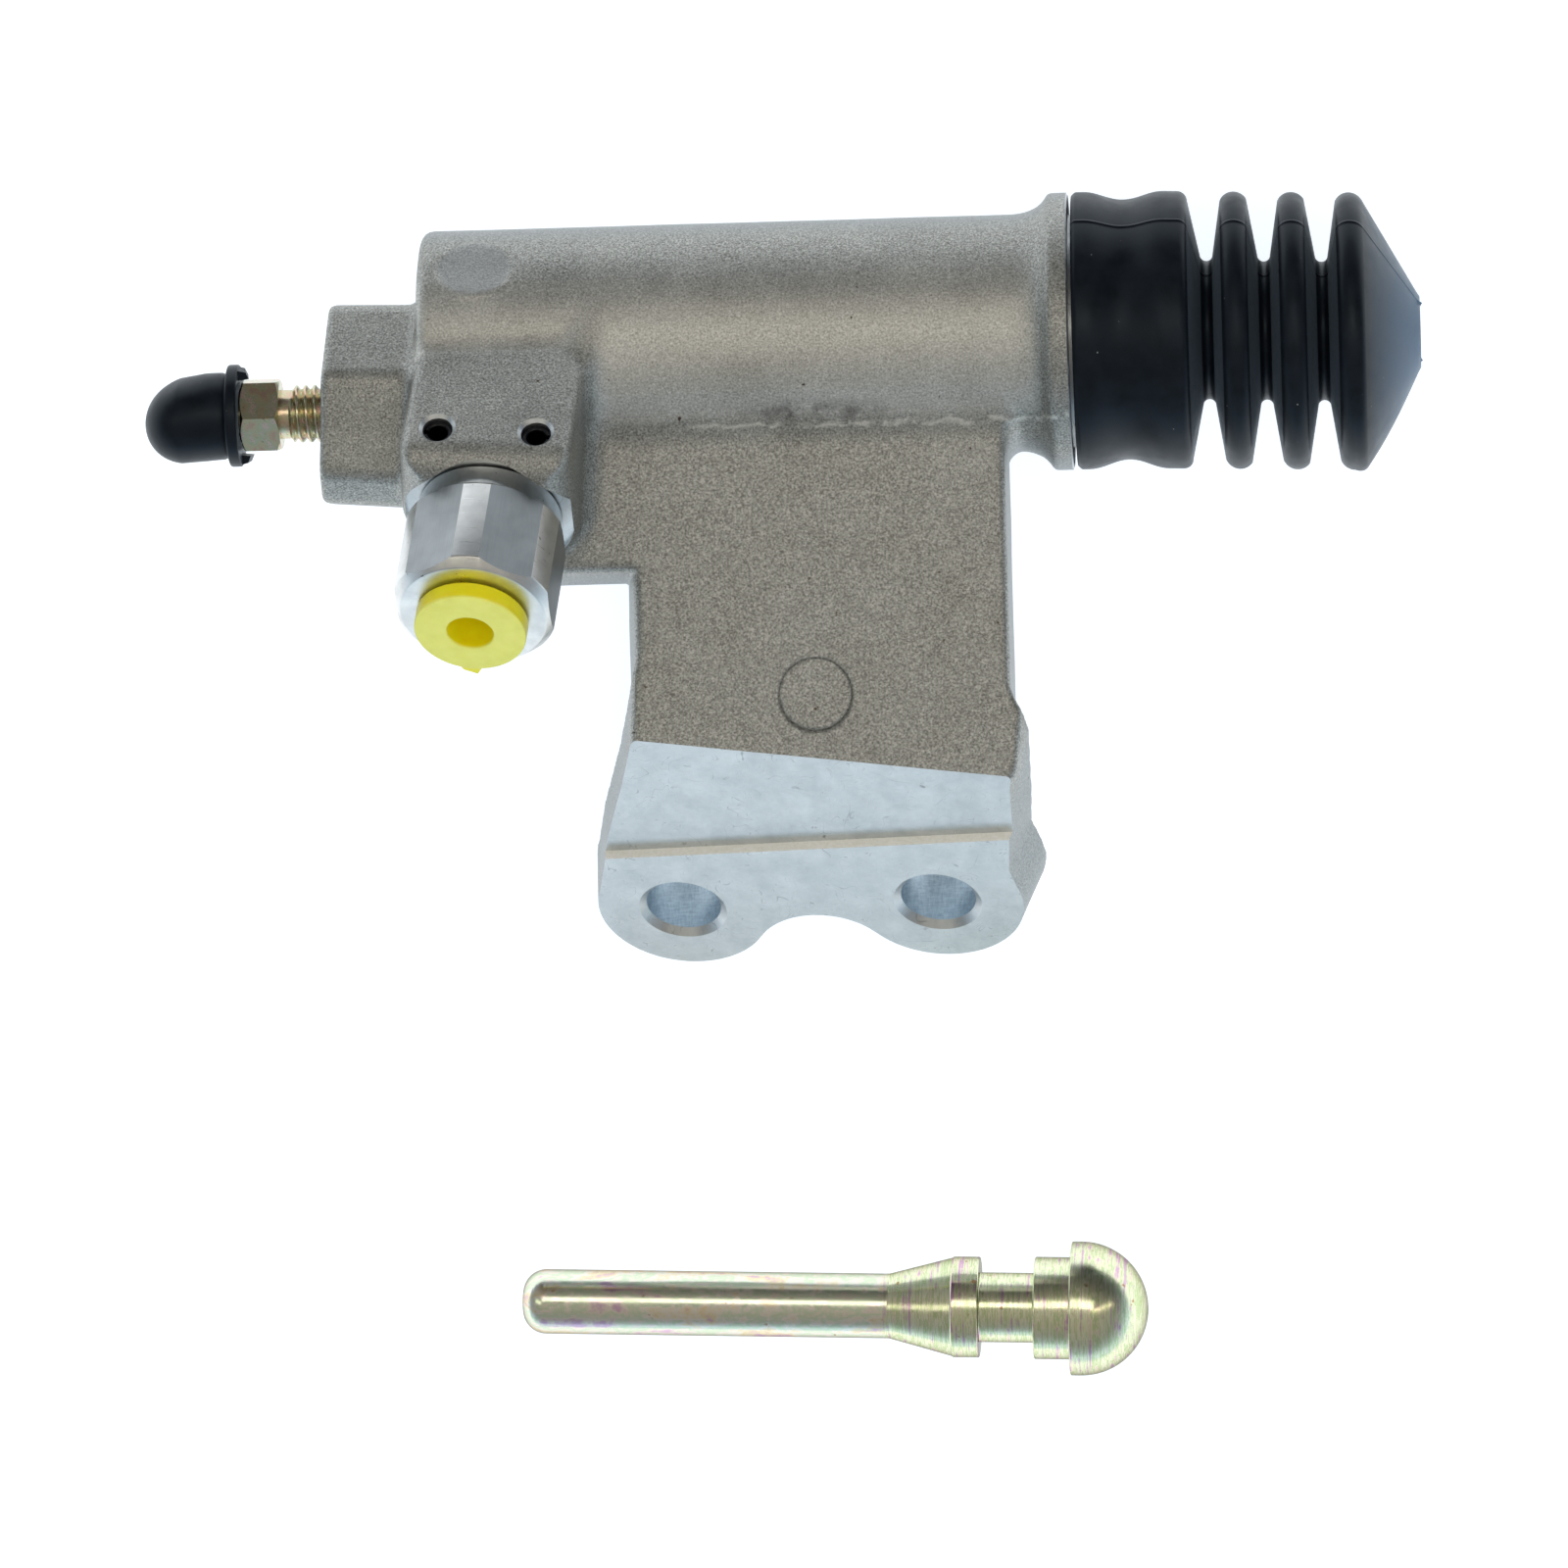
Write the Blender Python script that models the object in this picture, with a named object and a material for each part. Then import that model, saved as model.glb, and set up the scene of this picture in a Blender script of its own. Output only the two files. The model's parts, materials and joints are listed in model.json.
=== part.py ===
"""Clutch slave cylinder, with its push rod drawn out and lying beside it.

Sizes are in metres, written as millimetres times MM. The cylinder has a frame of its own: X runs along
the bore toward the boot, X = 0 is the face of the flange, and the front of the web faces +Z. The fitting's
bore, the roll pins and the mounting face are machined in a second frame, tilted about X and then about Y.
An empty lays the whole cylinder down on its back, as it comes to rest on a table.
"""

import math

import bmesh
import bpy
from mathutils import Matrix, Vector

MM = 0.001

# Facets round a turned piece. Pieces that run in each other share one count.
BORE_FACETS = 32
BOOT_FACETS = 28
SMALL_FACETS = 20
TINY_FACETS = 14

# Clearances
RUNNING_FIT = 0.035 * MM
SEAT_GAP = 0.3 * MM
THREAD_GAP = 0.08 * MM
PIN_GAP = 0.05 * MM

# Barrel of the casting, measured from the flange face
BORE_R = 9.525 * MM
BORE_BOTTOM = -80.0 * MM
MOUTH_CHAMFER = 0.8 * MM
BARREL_R = 16.3 * MM
BARREL_END = -89.3 * MM
BARREL_END_ROUND = 1.6 * MM
FLANGE_R = 19.1 * MM
FLANGE_RIM = 3.8 * MM
FLARE_LENGTH = 4.6 * MM
SPIGOT_R = 16.0 * MM
SPIGOT_LENGTH = 14.0 * MM
SPIGOT_GROOVE_DEPTH = 0.9 * MM
SPIGOT_GROOVE_AT = 7.6 * MM
SPIGOT_GROOVE_WIDTH = 5.0 * MM

# Flat that an ejector pin left on the barrel
EJECTOR_R = 5.0 * MM
EJECTOR_X = -81.3 * MM
EJECTOR_TURN = math.radians(40.5)
EJECTOR_FLAT_AT = 15.9 * MM

# Web between the barrel and the mounting lug
WEB_FRONT = 11.2 * MM
WEB_BACK = -11.2 * MM
WEB_LEFT = -60.5 * MM
WEB_RIGHT = -9.3 * MM
WEB_BOTTOM = -61.0 * MM
WEB_DRAFT = 1.0 * MM
SHELF_LEFT = -80.0 * MM
SHELF_BOTTOM = -31.6 * MM
SHELF_CORNER = 1.5 * MM

# Machined frame
MACHINED_TILT = math.radians(51.5)
MACHINED_LEAN = math.radians(5.5)
PAD_DISTANCE = 57.0 * MM
PAD_RELIEF = 1.9 * MM
PAD_X = -33.5 * MM
PAD_Y = -58.7 * MM
PAD_TURN = math.radians(7.5)

# Mounting lug, about the middle of its two bolt holes
BOLT_SPACING = 36.4 * MM
BOLT_HOLE_R = 5.25 * MM
BOLT_CHAMFER = 0.9 * MM
LOBE_R = 11.8 * MM
NOTCH_R = 10.0 * MM
NOTCH_DROP = 12.0 * MM
RISER_AT = 13.0 * MM
LUG_TOP = 44.0 * MM
LUG_THICKNESS = 12.0 * MM
LUG_PARTING = 9.0 * MM
LUG_DRAFT = 1.4 * MM
LUG_BULGE = 1.1 * MM

# Inlet block, along the fitting's axis from the bore's axis
INLET_X = -76.45 * MM
BLOCK_HALF_WIDTH = 11.7 * MM
BLOCK_FACE = 12.6 * MM
BLOCK_LENGTH = 32.3 * MM
BLOCK_EDGE_ROUND = 2.4 * MM
SPOTFACE_R = 11.7 * MM
SPOTFACE_DEPTH = 2.6 * MM
SOCKET_R = 7.05 * MM
SOCKET_BOTTOM = 13.5 * MM
PORT_R = 1.5 * MM

# Roll pins that hold the fitting
PIN_R = 2.0 * MM
PIN_WALL = 0.65 * MM
PIN_SLOT = 0.7 * MM
PIN_LENGTH = 20.0 * MM
PIN_RECESS = 1.0 * MM
PIN_OFFSET = 6.75 * MM
PIN_BELOW_FACE = 6.4 * MM
PIN_AT = BLOCK_LENGTH - PIN_BELOW_FACE
PIN_HOLE_CHAMFER = 0.45 * MM

# Hose joint and its transit plug
HEX_FLATS = 21.0 * MM
HEX_CORNER_R = 11.2 * MM
HEX_OVER_BLOCK = 0.7 * MM
HEX_START = BLOCK_LENGTH + HEX_OVER_BLOCK
HEX_LENGTH = 15.2 * MM
HEX_END = HEX_START + HEX_LENGTH
HEX_CHAMFER = 1.2 * MM
HEX_TURN = math.radians(1.5)
NECK_R = 9.8 * MM
SPIGOT_GAP = 0.08 * MM
PIN_GROOVE_WIDTH = 4.3 * MM
O_RING_AT = (SOCKET_BOTTOM + PIN_AT - PIN_GROOVE_WIDTH / 2.0) / 2.0
O_RING_R = 0.95 * MM
O_RING_GROOVE_WIDTH = 2.6 * MM
HOSE_THREAD_R = 5.6 * MM
HOSE_THREAD_DEPTH = 13.0 * MM
PASSAGE_R = 1.6 * MM
PLUG_NECK_R = 5.4 * MM
PLUG_NECK_LENGTH = 7.0 * MM
PLUG_FLANGE_R = 7.65 * MM
PLUG_FLANGE_THICKNESS = 1.9 * MM
PLUG_STANDS_OFF = 1.2 * MM
PLUG_HOLE_R = 3.2 * MM
PLUG_HOLE_DEPTH = 6.5 * MM

# Bleeder boss, screw and cap, measured outward from the boss's face
BOSS_LENGTH = 12.8 * MM
BOSS_ROOT = 2.0 * MM
BOSS_TOP = 6.2 * MM
BOSS_BOTTOM = -21.1 * MM
BOSS_FRONT = 17.0 * MM
BOSS_BACK = -8.0 * MM
BOSS_DRAFT = 0.4 * MM
BOSS_EDGE_ROUND = 0.7 * MM
BOSS_LEAN = math.radians(3.0)
BLEED_Y = -8.6 * MM
BLEED_Z = 5.5 * MM
BLEED_THREAD_R = 4.0 * MM
BLEED_HOLE_DEPTH = 15.4 * MM
BLEED_SEAT_LENGTH = 2.6 * MM
BLEED_PASSAGE_R = 1.25 * MM
BLEED_NECK_R = 3.4 * MM
BLEED_THREAD_OUT = 5.9 * MM
BLEED_HEX_AT = 7.6 * MM
BLEED_HEX_LENGTH = 4.6 * MM
BLEED_HEX_FLATS = 9.0 * MM
BLEED_HEX_TURN = math.radians(22.0)
NIPPLE_R = 3.0 * MM
NIPPLE_BARB_R = 3.6 * MM
NIPPLE_END = 21.5 * MM
NIPPLE_BORE_R = 1.1 * MM
NIPPLE_CROSS_R = 0.8 * MM
CAP_TIP = 25.8 * MM
CAP_R = 6.2 * MM
CAP_WAIST_R = 6.0 * MM
CAP_FLANGE_R = 7.05 * MM
CAP_FLANGE_THICKNESS = 1.6 * MM
CAP_BORE_LENGTH = 10.3 * MM

# Piston, cups and return spring, measured along the bore
PISTON_MOUTH_END = -3.0 * MM
PISTON_LENGTH = 27.5 * MM
PISTON_SOCKET_R = 5.3 * MM
PISTON_SOCKET_DEPTH = 14.5 * MM
PISTON_NOSE_R = 5.0 * MM
PISTON_NOSE_LENGTH = 4.5 * MM
CUP_GROOVE_R = 6.9 * MM
CUP_GROOVE_WIDTH = 5.0 * MM
CUP_HEAD_LAND = 2.8 * MM
CUP_SKIRT_LAND = 3.4 * MM
SPRING_WIRE_R = 0.65 * MM
SPRING_R = 6.1 * MM
SPRING_TURNS = 8.0
SPRING_FLAT_TURNS = 1.0

# Dust boot
BOOT_START = 0.5 * MM
BOOT_BAND_END = 16.4 * MM
BOOT_BAND_R = 19.1 * MM
BOOT_WAIST_R = 17.9 * MM
BOOT_WALL = 1.5 * MM
BOOT_FIRST_CREST = 22.8 * MM
BOOT_CREST_PITCH = 7.9 * MM
BOOT_CRESTS = 3
BOOT_CREST_R = 19.3 * MM
BOOT_CREST_ROUND = 1.5 * MM
BOOT_NECK_R = 9.5 * MM
BOOT_NECK_ROUND = 0.9 * MM
BOOT_NOSE_END = 48.0 * MM
BOOT_NOSE_LENGTH = 6.6 * MM
BOOT_NOSE_R = 5.2 * MM
BOOT_HOLE_R = 3.8 * MM

# Push rod, measured from its slim tip
ROD_R = 4.6 * MM
ROD_TIP_ROUND = 2.2 * MM
ROD_SHAFT_LENGTH = 52.2 * MM
ROD_CONE_LENGTH = 9.0 * MM
ROD_COLLAR_R = 7.15 * MM
ROD_COLLAR_LENGTH = 3.9 * MM
ROD_GROOVE_R = 4.95 * MM
ROD_GROOVE_LENGTH = 7.8 * MM
ROD_SECOND_COLLAR_R = 7.25 * MM
ROD_SECOND_COLLAR_LENGTH = 5.2 * MM
ROD_HEAD_R = 9.5 * MM
ROD_HEAD_RIM = 1.4 * MM

# How the pieces lie on the table
LAY_BACK = math.radians(-10.49)
LAY_SIDE = math.radians(-1.944)
ROD_TIP_X = -81.1 * MM
ROD_TIP_Y = -139.0 * MM
ROD_HEADING = math.radians(-1.35)


def clear_scene():
    for thing in list(bpy.data.objects):
        bpy.data.objects.remove(thing, do_unlink=True)


def material(name, colour, roughness, metallic):
    made = bpy.data.materials.new(name)
    made.use_nodes = True
    shader = made.node_tree.nodes["Principled BSDF"]
    shader.inputs["Base Color"].default_value = (*colour, 1.0)
    shader.inputs["Roughness"].default_value = roughness
    shader.inputs["Metallic"].default_value = metallic
    return made


def frame(name, parent=None, place=(0.0, 0.0, 0.0), turn=Matrix()):
    empty = bpy.data.objects.new(name, None)
    empty.empty_display_size = 5.0 * MM
    empty.parent = parent
    empty.matrix_local = Matrix.Translation(place) @ turn.to_4x4()
    bpy.context.scene.collection.objects.link(empty)
    return empty


def solid(name, mesh, parent, finish, smooth_angle=35.0):
    """One object from a bmesh. Its faces are turned outward, and edges under smooth_angle shade smooth."""
    bmesh.ops.recalc_face_normals(mesh, faces=mesh.faces)
    data = bpy.data.meshes.new(name)
    mesh.to_mesh(data)
    mesh.free()
    data.shade_smooth()
    data.set_sharp_from_angle(angle=math.radians(smooth_angle))
    made = bpy.data.objects.new(name, data)
    made.parent = parent
    bpy.context.scene.collection.objects.link(made)
    if finish:
        data.materials.append(finish)
    return made


def tool(name, mesh, parent):
    """A solid that only shapes another one."""
    made = solid(name, mesh, parent, None)
    made.hide_render = True
    made.display_type = "WIRE"
    return made


def boolean(target, other, operation):
    modifier = target.modifiers.new(f"{operation.lower()} {other.name}", "BOOLEAN")
    modifier.object = other
    modifier.operation = operation
    modifier.solver = "EXACT"


def arc(centre, radius, start, end, steps):
    """Points on an arc in a plane, from one angle to another in degrees."""
    angles = [math.radians(start + (end - start) * i / steps) for i in range(steps + 1)]
    return [(centre[0] + radius * math.cos(a), centre[1] + radius * math.sin(a)) for a in angles]


def turned(profile, facets):
    """A body of revolution about Z, from a profile of (z, radius) that closes on itself or on Z."""
    mesh = bmesh.new()
    points = [mesh.verts.new((radius, 0.0, z)) for z, radius in profile]
    edges = [mesh.edges.new(pair) for pair in zip(points, points[1:])]
    if profile[0][1] > 0.0:
        edges.append(mesh.edges.new((points[-1], points[0])))
    bmesh.ops.spin(
        mesh,
        geom=points + edges,
        cent=(0.0, 0.0, 0.0),
        axis=(0.0, 0.0, 1.0),
        angle=2.0 * math.pi,
        steps=facets,
        use_merge=True,
    )
    bmesh.ops.remove_doubles(mesh, verts=mesh.verts, dist=1e-7)
    return mesh


def anticlockwise(points):
    doubled_area = sum(a[0] * b[1] - b[0] * a[1] for a, b in zip(points, points[1:] + points[:1]))
    return list(points) if doubled_area > 0.0 else list(reversed(points))


def offset_outline(points, distance):
    """The outline moved outward by a distance, each corner along its mitre."""
    ring = anticlockwise(points)
    moved = []
    for before, here, after in zip(ring[-1:] + ring[:-1], ring, ring[1:] + ring[:1]):
        first = (Vector(here) - Vector(before)).normalized()
        second = (Vector(after) - Vector(here)).normalized()
        out_first = Vector((first.y, -first.x))
        out_second = Vector((second.y, -second.x))
        mitre = (out_first + out_second).normalized()
        moved.append(Vector(here) + mitre * distance / mitre.dot(out_first))
    return [tuple(point) for point in moved]


def lofted(sections):
    """A closed body through outlines of equal count, each given as (z, points), from the lowest up."""
    mesh = bmesh.new()
    rings = [[mesh.verts.new((x, y, z)) for x, y in points] for z, points in sections]
    count = len(rings[0])
    for low, high in zip(rings, rings[1:]):
        for i in range(count):
            mesh.faces.new((low[i], low[(i + 1) % count], high[(i + 1) % count], high[i]))
    mesh.faces.new(rings[0])
    mesh.faces.new(rings[-1])
    bmesh.ops.triangulate(mesh, faces=mesh.faces)
    return mesh


def drafted(outline, levels):
    """A prism along Z whose outline is moved outward by its own offset at each (z, offset) level."""
    return lofted([(z, offset_outline(outline, offset)) for z, offset in levels])


def box(low, high):
    mesh = bmesh.new()
    bmesh.ops.create_cube(mesh, size=1.0)
    for vert in mesh.verts:
        for i in range(3):
            vert.co[i] = low[i] if vert.co[i] < 0.0 else high[i]
    return mesh


def hexagon(flats, turn=0.0):
    """Corners of a hexagon with a corner on Y, or turned from there."""
    first = 90.0 + math.degrees(turn)
    return arc((0.0, 0.0), flats / math.sqrt(3.0), first, first + 300.0, 5)


# Casting


def barrel_profile():
    """The barrel with its flared flange and the spigot that the boot grips."""
    end_centre = (BARREL_END + BARREL_END_ROUND, BARREL_R - BARREL_END_ROUND)
    end_round = arc(end_centre, BARREL_END_ROUND, 180.0, 90.0, 3)
    flare_start = -FLANGE_RIM - FLARE_LENGTH
    flare_angles = [math.radians(22.5 * i) for i in range(5)]
    flare = [
        (flare_start + FLARE_LENGTH * math.sin(a), BARREL_R + (FLANGE_R - BARREL_R) * (1.0 - math.cos(a)))
        for a in flare_angles
    ]
    groove_start = SPIGOT_GROOVE_AT - SPIGOT_GROOVE_WIDTH / 2.0
    groove_end = SPIGOT_GROOVE_AT + SPIGOT_GROOVE_WIDTH / 2.0
    groove_r = SPIGOT_R - SPIGOT_GROOVE_DEPTH
    spigot = [
        (0.0, FLANGE_R),
        (0.0, SPIGOT_R),
        (groove_start - SPIGOT_GROOVE_DEPTH, SPIGOT_R),
        (groove_start, groove_r),
        (groove_end, groove_r),
        (groove_end + SPIGOT_GROOVE_DEPTH, SPIGOT_R),
        (SPIGOT_LENGTH - MOUTH_CHAMFER, SPIGOT_R),
        (SPIGOT_LENGTH, SPIGOT_R - MOUTH_CHAMFER),
        (SPIGOT_LENGTH, 0.0),
    ]
    return [(BARREL_END, 0.0)] + end_round + flare + spigot


def bore_profile():
    past = SPIGOT_LENGTH + 2.0 * MM
    return [
        (BORE_BOTTOM, 0.0),
        (BORE_BOTTOM, BORE_R),
        (SPIGOT_LENGTH - MOUTH_CHAMFER, BORE_R),
        (past, BORE_R + MOUTH_CHAMFER + past - SPIGOT_LENGTH),
        (past, 0.0),
    ]


def web_outline():
    """The web's front edge, with the shelf behind the fitting at its left."""
    inside_barrel = -8.0 * MM
    return [
        (SHELF_LEFT, inside_barrel),
        (SHELF_LEFT, SHELF_BOTTOM),
        (WEB_LEFT - SHELF_CORNER, SHELF_BOTTOM),
        (WEB_LEFT, SHELF_BOTTOM - SHELF_CORNER),
        (WEB_LEFT, WEB_BOTTOM),
        (WEB_RIGHT, WEB_BOTTOM),
        (WEB_RIGHT, inside_barrel),
    ]


def lug_outline(bulge=0.0):
    """Two lobes round the bolt holes with a notch between them, and sides that run up to the web.

    The right lobe can be pushed out sideways, as it is at the parting line.
    """
    half = BOLT_SPACING / 2.0
    touch = math.degrees(math.atan2(NOTCH_DROP, half))
    left = arc((-half, 0.0), LOBE_R, 155.0, 360.0 - touch, 14)
    notch = arc((0.0, -NOTCH_DROP), NOTCH_R, 180.0 - touch, touch, 8)
    right = arc((half, 0.0), LOBE_R, 180.0 + touch, 373.0, 14)
    right = [(x + bulge * max(0.0, x - half) / LOBE_R, y) for x, y in right]
    sides = [
        (half + LOBE_R - 0.8 * MM, RISER_AT * 0.5),
        (half + LOBE_R + 0.3 * MM, RISER_AT),
        (half + LOBE_R + 2.0 * MM, LUG_TOP * 0.6),
        (half + LOBE_R + 1.0 * MM, LUG_TOP),
        (-half + 3.6 * MM, LUG_TOP),
        (-half + 0.6 * MM, LUG_TOP * 0.82),
        (-half - 8.2 * MM, RISER_AT),
    ]
    return left + notch[1:-1] + right + sides


def block_outline():
    """The inlet block across the fitting's axis: a square shoulder over a round boss."""
    lower = arc((0.0, 0.0), BLOCK_FACE, 187.0, 338.0, 11)
    return [(-BLOCK_HALF_WIDTH, BLOCK_FACE)] + lower + [(BLOCK_HALF_WIDTH, BLOCK_FACE)]


def boss_outline():
    """The bleeder boss's uneven octagon, as (Z, Y) in the cylinder's frame."""
    return [
        (BOSS_FRONT - 8.0 * MM, BOSS_TOP),
        (BOSS_FRONT, BOSS_TOP - 10.0 * MM),
        (BOSS_FRONT - 1.6 * MM, BOSS_BOTTOM + 3.5 * MM),
        (BOSS_FRONT - 6.0 * MM, BOSS_BOTTOM),
        (BOSS_BACK + 12.0 * MM, BOSS_BOTTOM),
        (BOSS_BACK + 4.0 * MM, BOSS_BOTTOM + 5.0 * MM),
        (BOSS_BACK, BOSS_TOP - 13.0 * MM),
        (BOSS_BACK + 4.0 * MM, BOSS_TOP - 3.0 * MM),
        (BOSS_BACK + 9.0 * MM, BOSS_TOP),
    ]


def bolt_hole_profile():
    mouth = BOLT_HOLE_R + BOLT_CHAMFER
    past = 1.0 * MM
    return [
        (past, 0.0),
        (past, mouth + past),
        (-BOLT_CHAMFER, BOLT_HOLE_R),
        (-LUG_THICKNESS + BOLT_CHAMFER, BOLT_HOLE_R),
        (-LUG_THICKNESS - past, mouth + past),
        (-LUG_THICKNESS - past, 0.0),
    ]


def socket_profile():
    """Spotface, socket and port of the inlet, from outside in."""
    past = BLOCK_LENGTH + 1.0 * MM
    floor = BLOCK_LENGTH - SPOTFACE_DEPTH
    inside_bore = BORE_R - 2.0 * MM
    return [
        (past, 0.0),
        (past, SPOTFACE_R),
        (floor, SPOTFACE_R),
        (floor, SOCKET_R),
        (SOCKET_BOTTOM, SOCKET_R),
        (SOCKET_BOTTOM, PORT_R),
        (inside_bore, PORT_R),
        (inside_bore, 0.0),
    ]


def pin_hole_profile():
    hole_r = PIN_R + PIN_GAP
    past = 1.0 * MM
    bottom = BLOCK_FACE - PIN_RECESS - PIN_LENGTH - SEAT_GAP
    return [
        (BLOCK_FACE + past, 0.0),
        (BLOCK_FACE + past, hole_r + PIN_HOLE_CHAMFER + past),
        (BLOCK_FACE - PIN_HOLE_CHAMFER, hole_r),
        (bottom, hole_r),
        (bottom, 0.0),
    ]


def bleeder_hole_profile():
    """Threaded hole, conical seat and the passage that breaks into the bore's end."""
    hole_r = BLEED_THREAD_R + THREAD_GAP
    seat_end = -BLEED_HOLE_DEPTH - BLEED_SEAT_LENGTH
    into_bore = -BOSS_LENGTH - (BORE_BOTTOM - BARREL_END) - 3.0 * MM
    past = 1.0 * MM
    chamfer = 0.5 * MM
    return [
        (past, 0.0),
        (past, hole_r + chamfer + past),
        (-chamfer, hole_r),
        (-BLEED_HOLE_DEPTH, hole_r),
        (seat_end, BLEED_PASSAGE_R),
        (into_bore, BLEED_PASSAGE_R),
        (into_bore, 0.0),
    ]


def ejector_profile(start, end):
    return [(start, 0.0), (start, EJECTOR_R), (end, EJECTOR_R), (end, 0.0)]


def casting_forms(frames):
    """What is cast onto the web, in order."""
    lug_sections = [
        (-LUG_THICKNESS, offset_outline(lug_outline(), -LUG_DRAFT / 2.0)),
        (-LUG_PARTING, offset_outline(lug_outline(LUG_BULGE), LUG_DRAFT)),
        (1.0 * MM, offset_outline(lug_outline(), 0.0)),
    ]
    block_levels = [(1.0 * MM, 0.0)]
    for i in range(4):
        angle = math.radians(30.0 * i)
        level = BLOCK_LENGTH - BLOCK_EDGE_ROUND * (1.0 - math.sin(angle))
        block_levels.append((level, -BLOCK_EDGE_ROUND * (1.0 - math.cos(angle)) / 2.0))
    boss_levels = [
        (-BOSS_LENGTH - BOSS_ROOT, BOSS_DRAFT),
        (-BOSS_EDGE_ROUND, 0.0),
        (0.0, -BOSS_EDGE_ROUND),
    ]
    boss = tool("boss_form", drafted(boss_outline(), boss_levels), frames["boss"])
    boss.rotation_euler.x = -BOSS_LEAN
    ejector = turned(ejector_profile(BORE_R + 2.0 * MM, EJECTOR_FLAT_AT), SMALL_FACETS)
    return (
        tool("lug_form", lofted(lug_sections), frames["pad"]),
        tool("barrel_form", turned(barrel_profile(), BORE_FACETS), frames["bore"]),
        tool("block_form", drafted(block_outline(), block_levels), frames["inlet"]),
        boss,
        tool("ejector_form", ejector, frames["ejector"]),
    )


def casting_cuts(frames):
    """What is machined out of the casting."""
    far = 120.0 * MM
    above_pad = box((-far, -far, 0.0), (far, far, far))
    above_relief = box((-far, RISER_AT, -PAD_RELIEF), (far, far, 2.0 * MM))
    ejector = turned(ejector_profile(EJECTOR_FLAT_AT, FLANGE_R), SMALL_FACETS)
    half = BOLT_SPACING / 2.0
    cuts = [
        tool("bore_cut", turned(bore_profile(), BORE_FACETS), frames["bore"]),
        tool("pad_cut", above_pad, frames["pad"]),
        tool("relief_cut", above_relief, frames["pad"]),
        tool("socket_cut", turned(socket_profile(), SMALL_FACETS), frames["inlet"]),
        tool("bleeder_cut", turned(bleeder_hole_profile(), SMALL_FACETS), frames["bleed"]),
        tool("ejector_cut", ejector, frames["ejector"]),
    ]
    for side, x in (("left", -half), ("right", half)):
        hole = tool(f"bolt_hole_{side}", turned(bolt_hole_profile(), SMALL_FACETS), frames["pad"])
        hole.location = (x, 0.0, 0.0)
        cuts.append(hole)
        pin_hole = turned(pin_hole_profile(), TINY_FACETS)
        cuts.append(tool(f"pin_hole_{side}", pin_hole, frames[f"pin_{side}"]))
    return cuts


def make_cylinder_body(frames, finish):
    middle = (WEB_FRONT + WEB_BACK) / 2.0
    front_stock = 2.0 * MM
    web_levels = [(WEB_BACK, 0.0), (middle, WEB_DRAFT), (WEB_FRONT + front_stock, 0.0)]
    body = solid("cylinder_body", drafted(web_outline(), web_levels), frames["cylinder"], finish)
    lug, *others = casting_forms(frames)
    boolean(body, lug, "UNION")
    far = 120.0 * MM
    before_web = box((-far, -far, WEB_FRONT), (far, 0.0, far))
    boolean(body, tool("web_front_trim", before_web, frames["cylinder"]), "DIFFERENCE")
    for form in others:
        boolean(body, form, "UNION")
    for cut in casting_cuts(frames):
        boolean(body, cut, "DIFFERENCE")
    return body


# Pieces in the bore


def piston_grooves():
    """Where the two cup grooves start and end along the bore: the skirt's, then the head's."""
    skirt_end = PISTON_MOUTH_END - CUP_SKIRT_LAND
    head_start = PISTON_MOUTH_END - PISTON_LENGTH + CUP_HEAD_LAND
    return (skirt_end - CUP_GROOVE_WIDTH, skirt_end), (head_start, head_start + CUP_GROOVE_WIDTH)


def make_piston(parent, finish):
    land_r = BORE_R - RUNNING_FIT
    chamfer = 0.5 * MM
    shoulder = PISTON_MOUTH_END - PISTON_LENGTH
    nose_end = shoulder - PISTON_NOSE_LENGTH
    skirt_groove, head_groove = piston_grooves()
    socket_centre = PISTON_MOUTH_END - PISTON_SOCKET_DEPTH + PISTON_SOCKET_R
    profile = [
        (nose_end, 0.0),
        (nose_end, PISTON_NOSE_R - chamfer),
        (nose_end + chamfer, PISTON_NOSE_R),
        (shoulder, PISTON_NOSE_R),
        (shoulder, land_r - chamfer),
        (shoulder + chamfer, land_r),
        (head_groove[0], land_r),
        (head_groove[0], CUP_GROOVE_R),
        (head_groove[1], CUP_GROOVE_R),
        (head_groove[1], land_r),
        (skirt_groove[0], land_r),
        (skirt_groove[0], CUP_GROOVE_R),
        (skirt_groove[1], CUP_GROOVE_R),
        (skirt_groove[1], land_r),
        (PISTON_MOUTH_END - chamfer, land_r),
        (PISTON_MOUTH_END, land_r - chamfer),
        (PISTON_MOUTH_END, PISTON_SOCKET_R + chamfer),
        (PISTON_MOUTH_END - chamfer, PISTON_SOCKET_R),
    ]
    socket_end = arc((socket_centre, 0.0), PISTON_SOCKET_R, 90.0, 180.0, 5)
    return solid("piston", turned(profile + socket_end, BORE_FACETS), parent, finish)


def make_cup(name, groove, parent, finish):
    """A lip seal in one of the piston's grooves, its lips toward the fluid."""
    gap = SEAT_GAP / 2.0
    back = groove[1] - gap
    lips = groove[0] + gap
    inner_r = CUP_GROOVE_R + 0.05 * MM
    outer_r = BORE_R - RUNNING_FIT / 2.0 - 0.01 * MM
    middle_r = (inner_r + outer_r) / 2.0
    depth = (back - lips) * 0.55
    profile = [
        (back, inner_r),
        (lips + 0.2 * MM, inner_r),
        (lips, inner_r + 0.4 * MM),
        (lips + depth, middle_r),
        (lips, outer_r - 0.4 * MM),
        (lips + 0.3 * MM, outer_r),
        (lips + depth, outer_r - 0.25 * MM),
        (back - 0.3 * MM, outer_r - 0.25 * MM),
        (back, outer_r - 0.6 * MM),
    ]
    return solid(name, turned(profile, BORE_FACETS), parent, finish)


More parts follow.
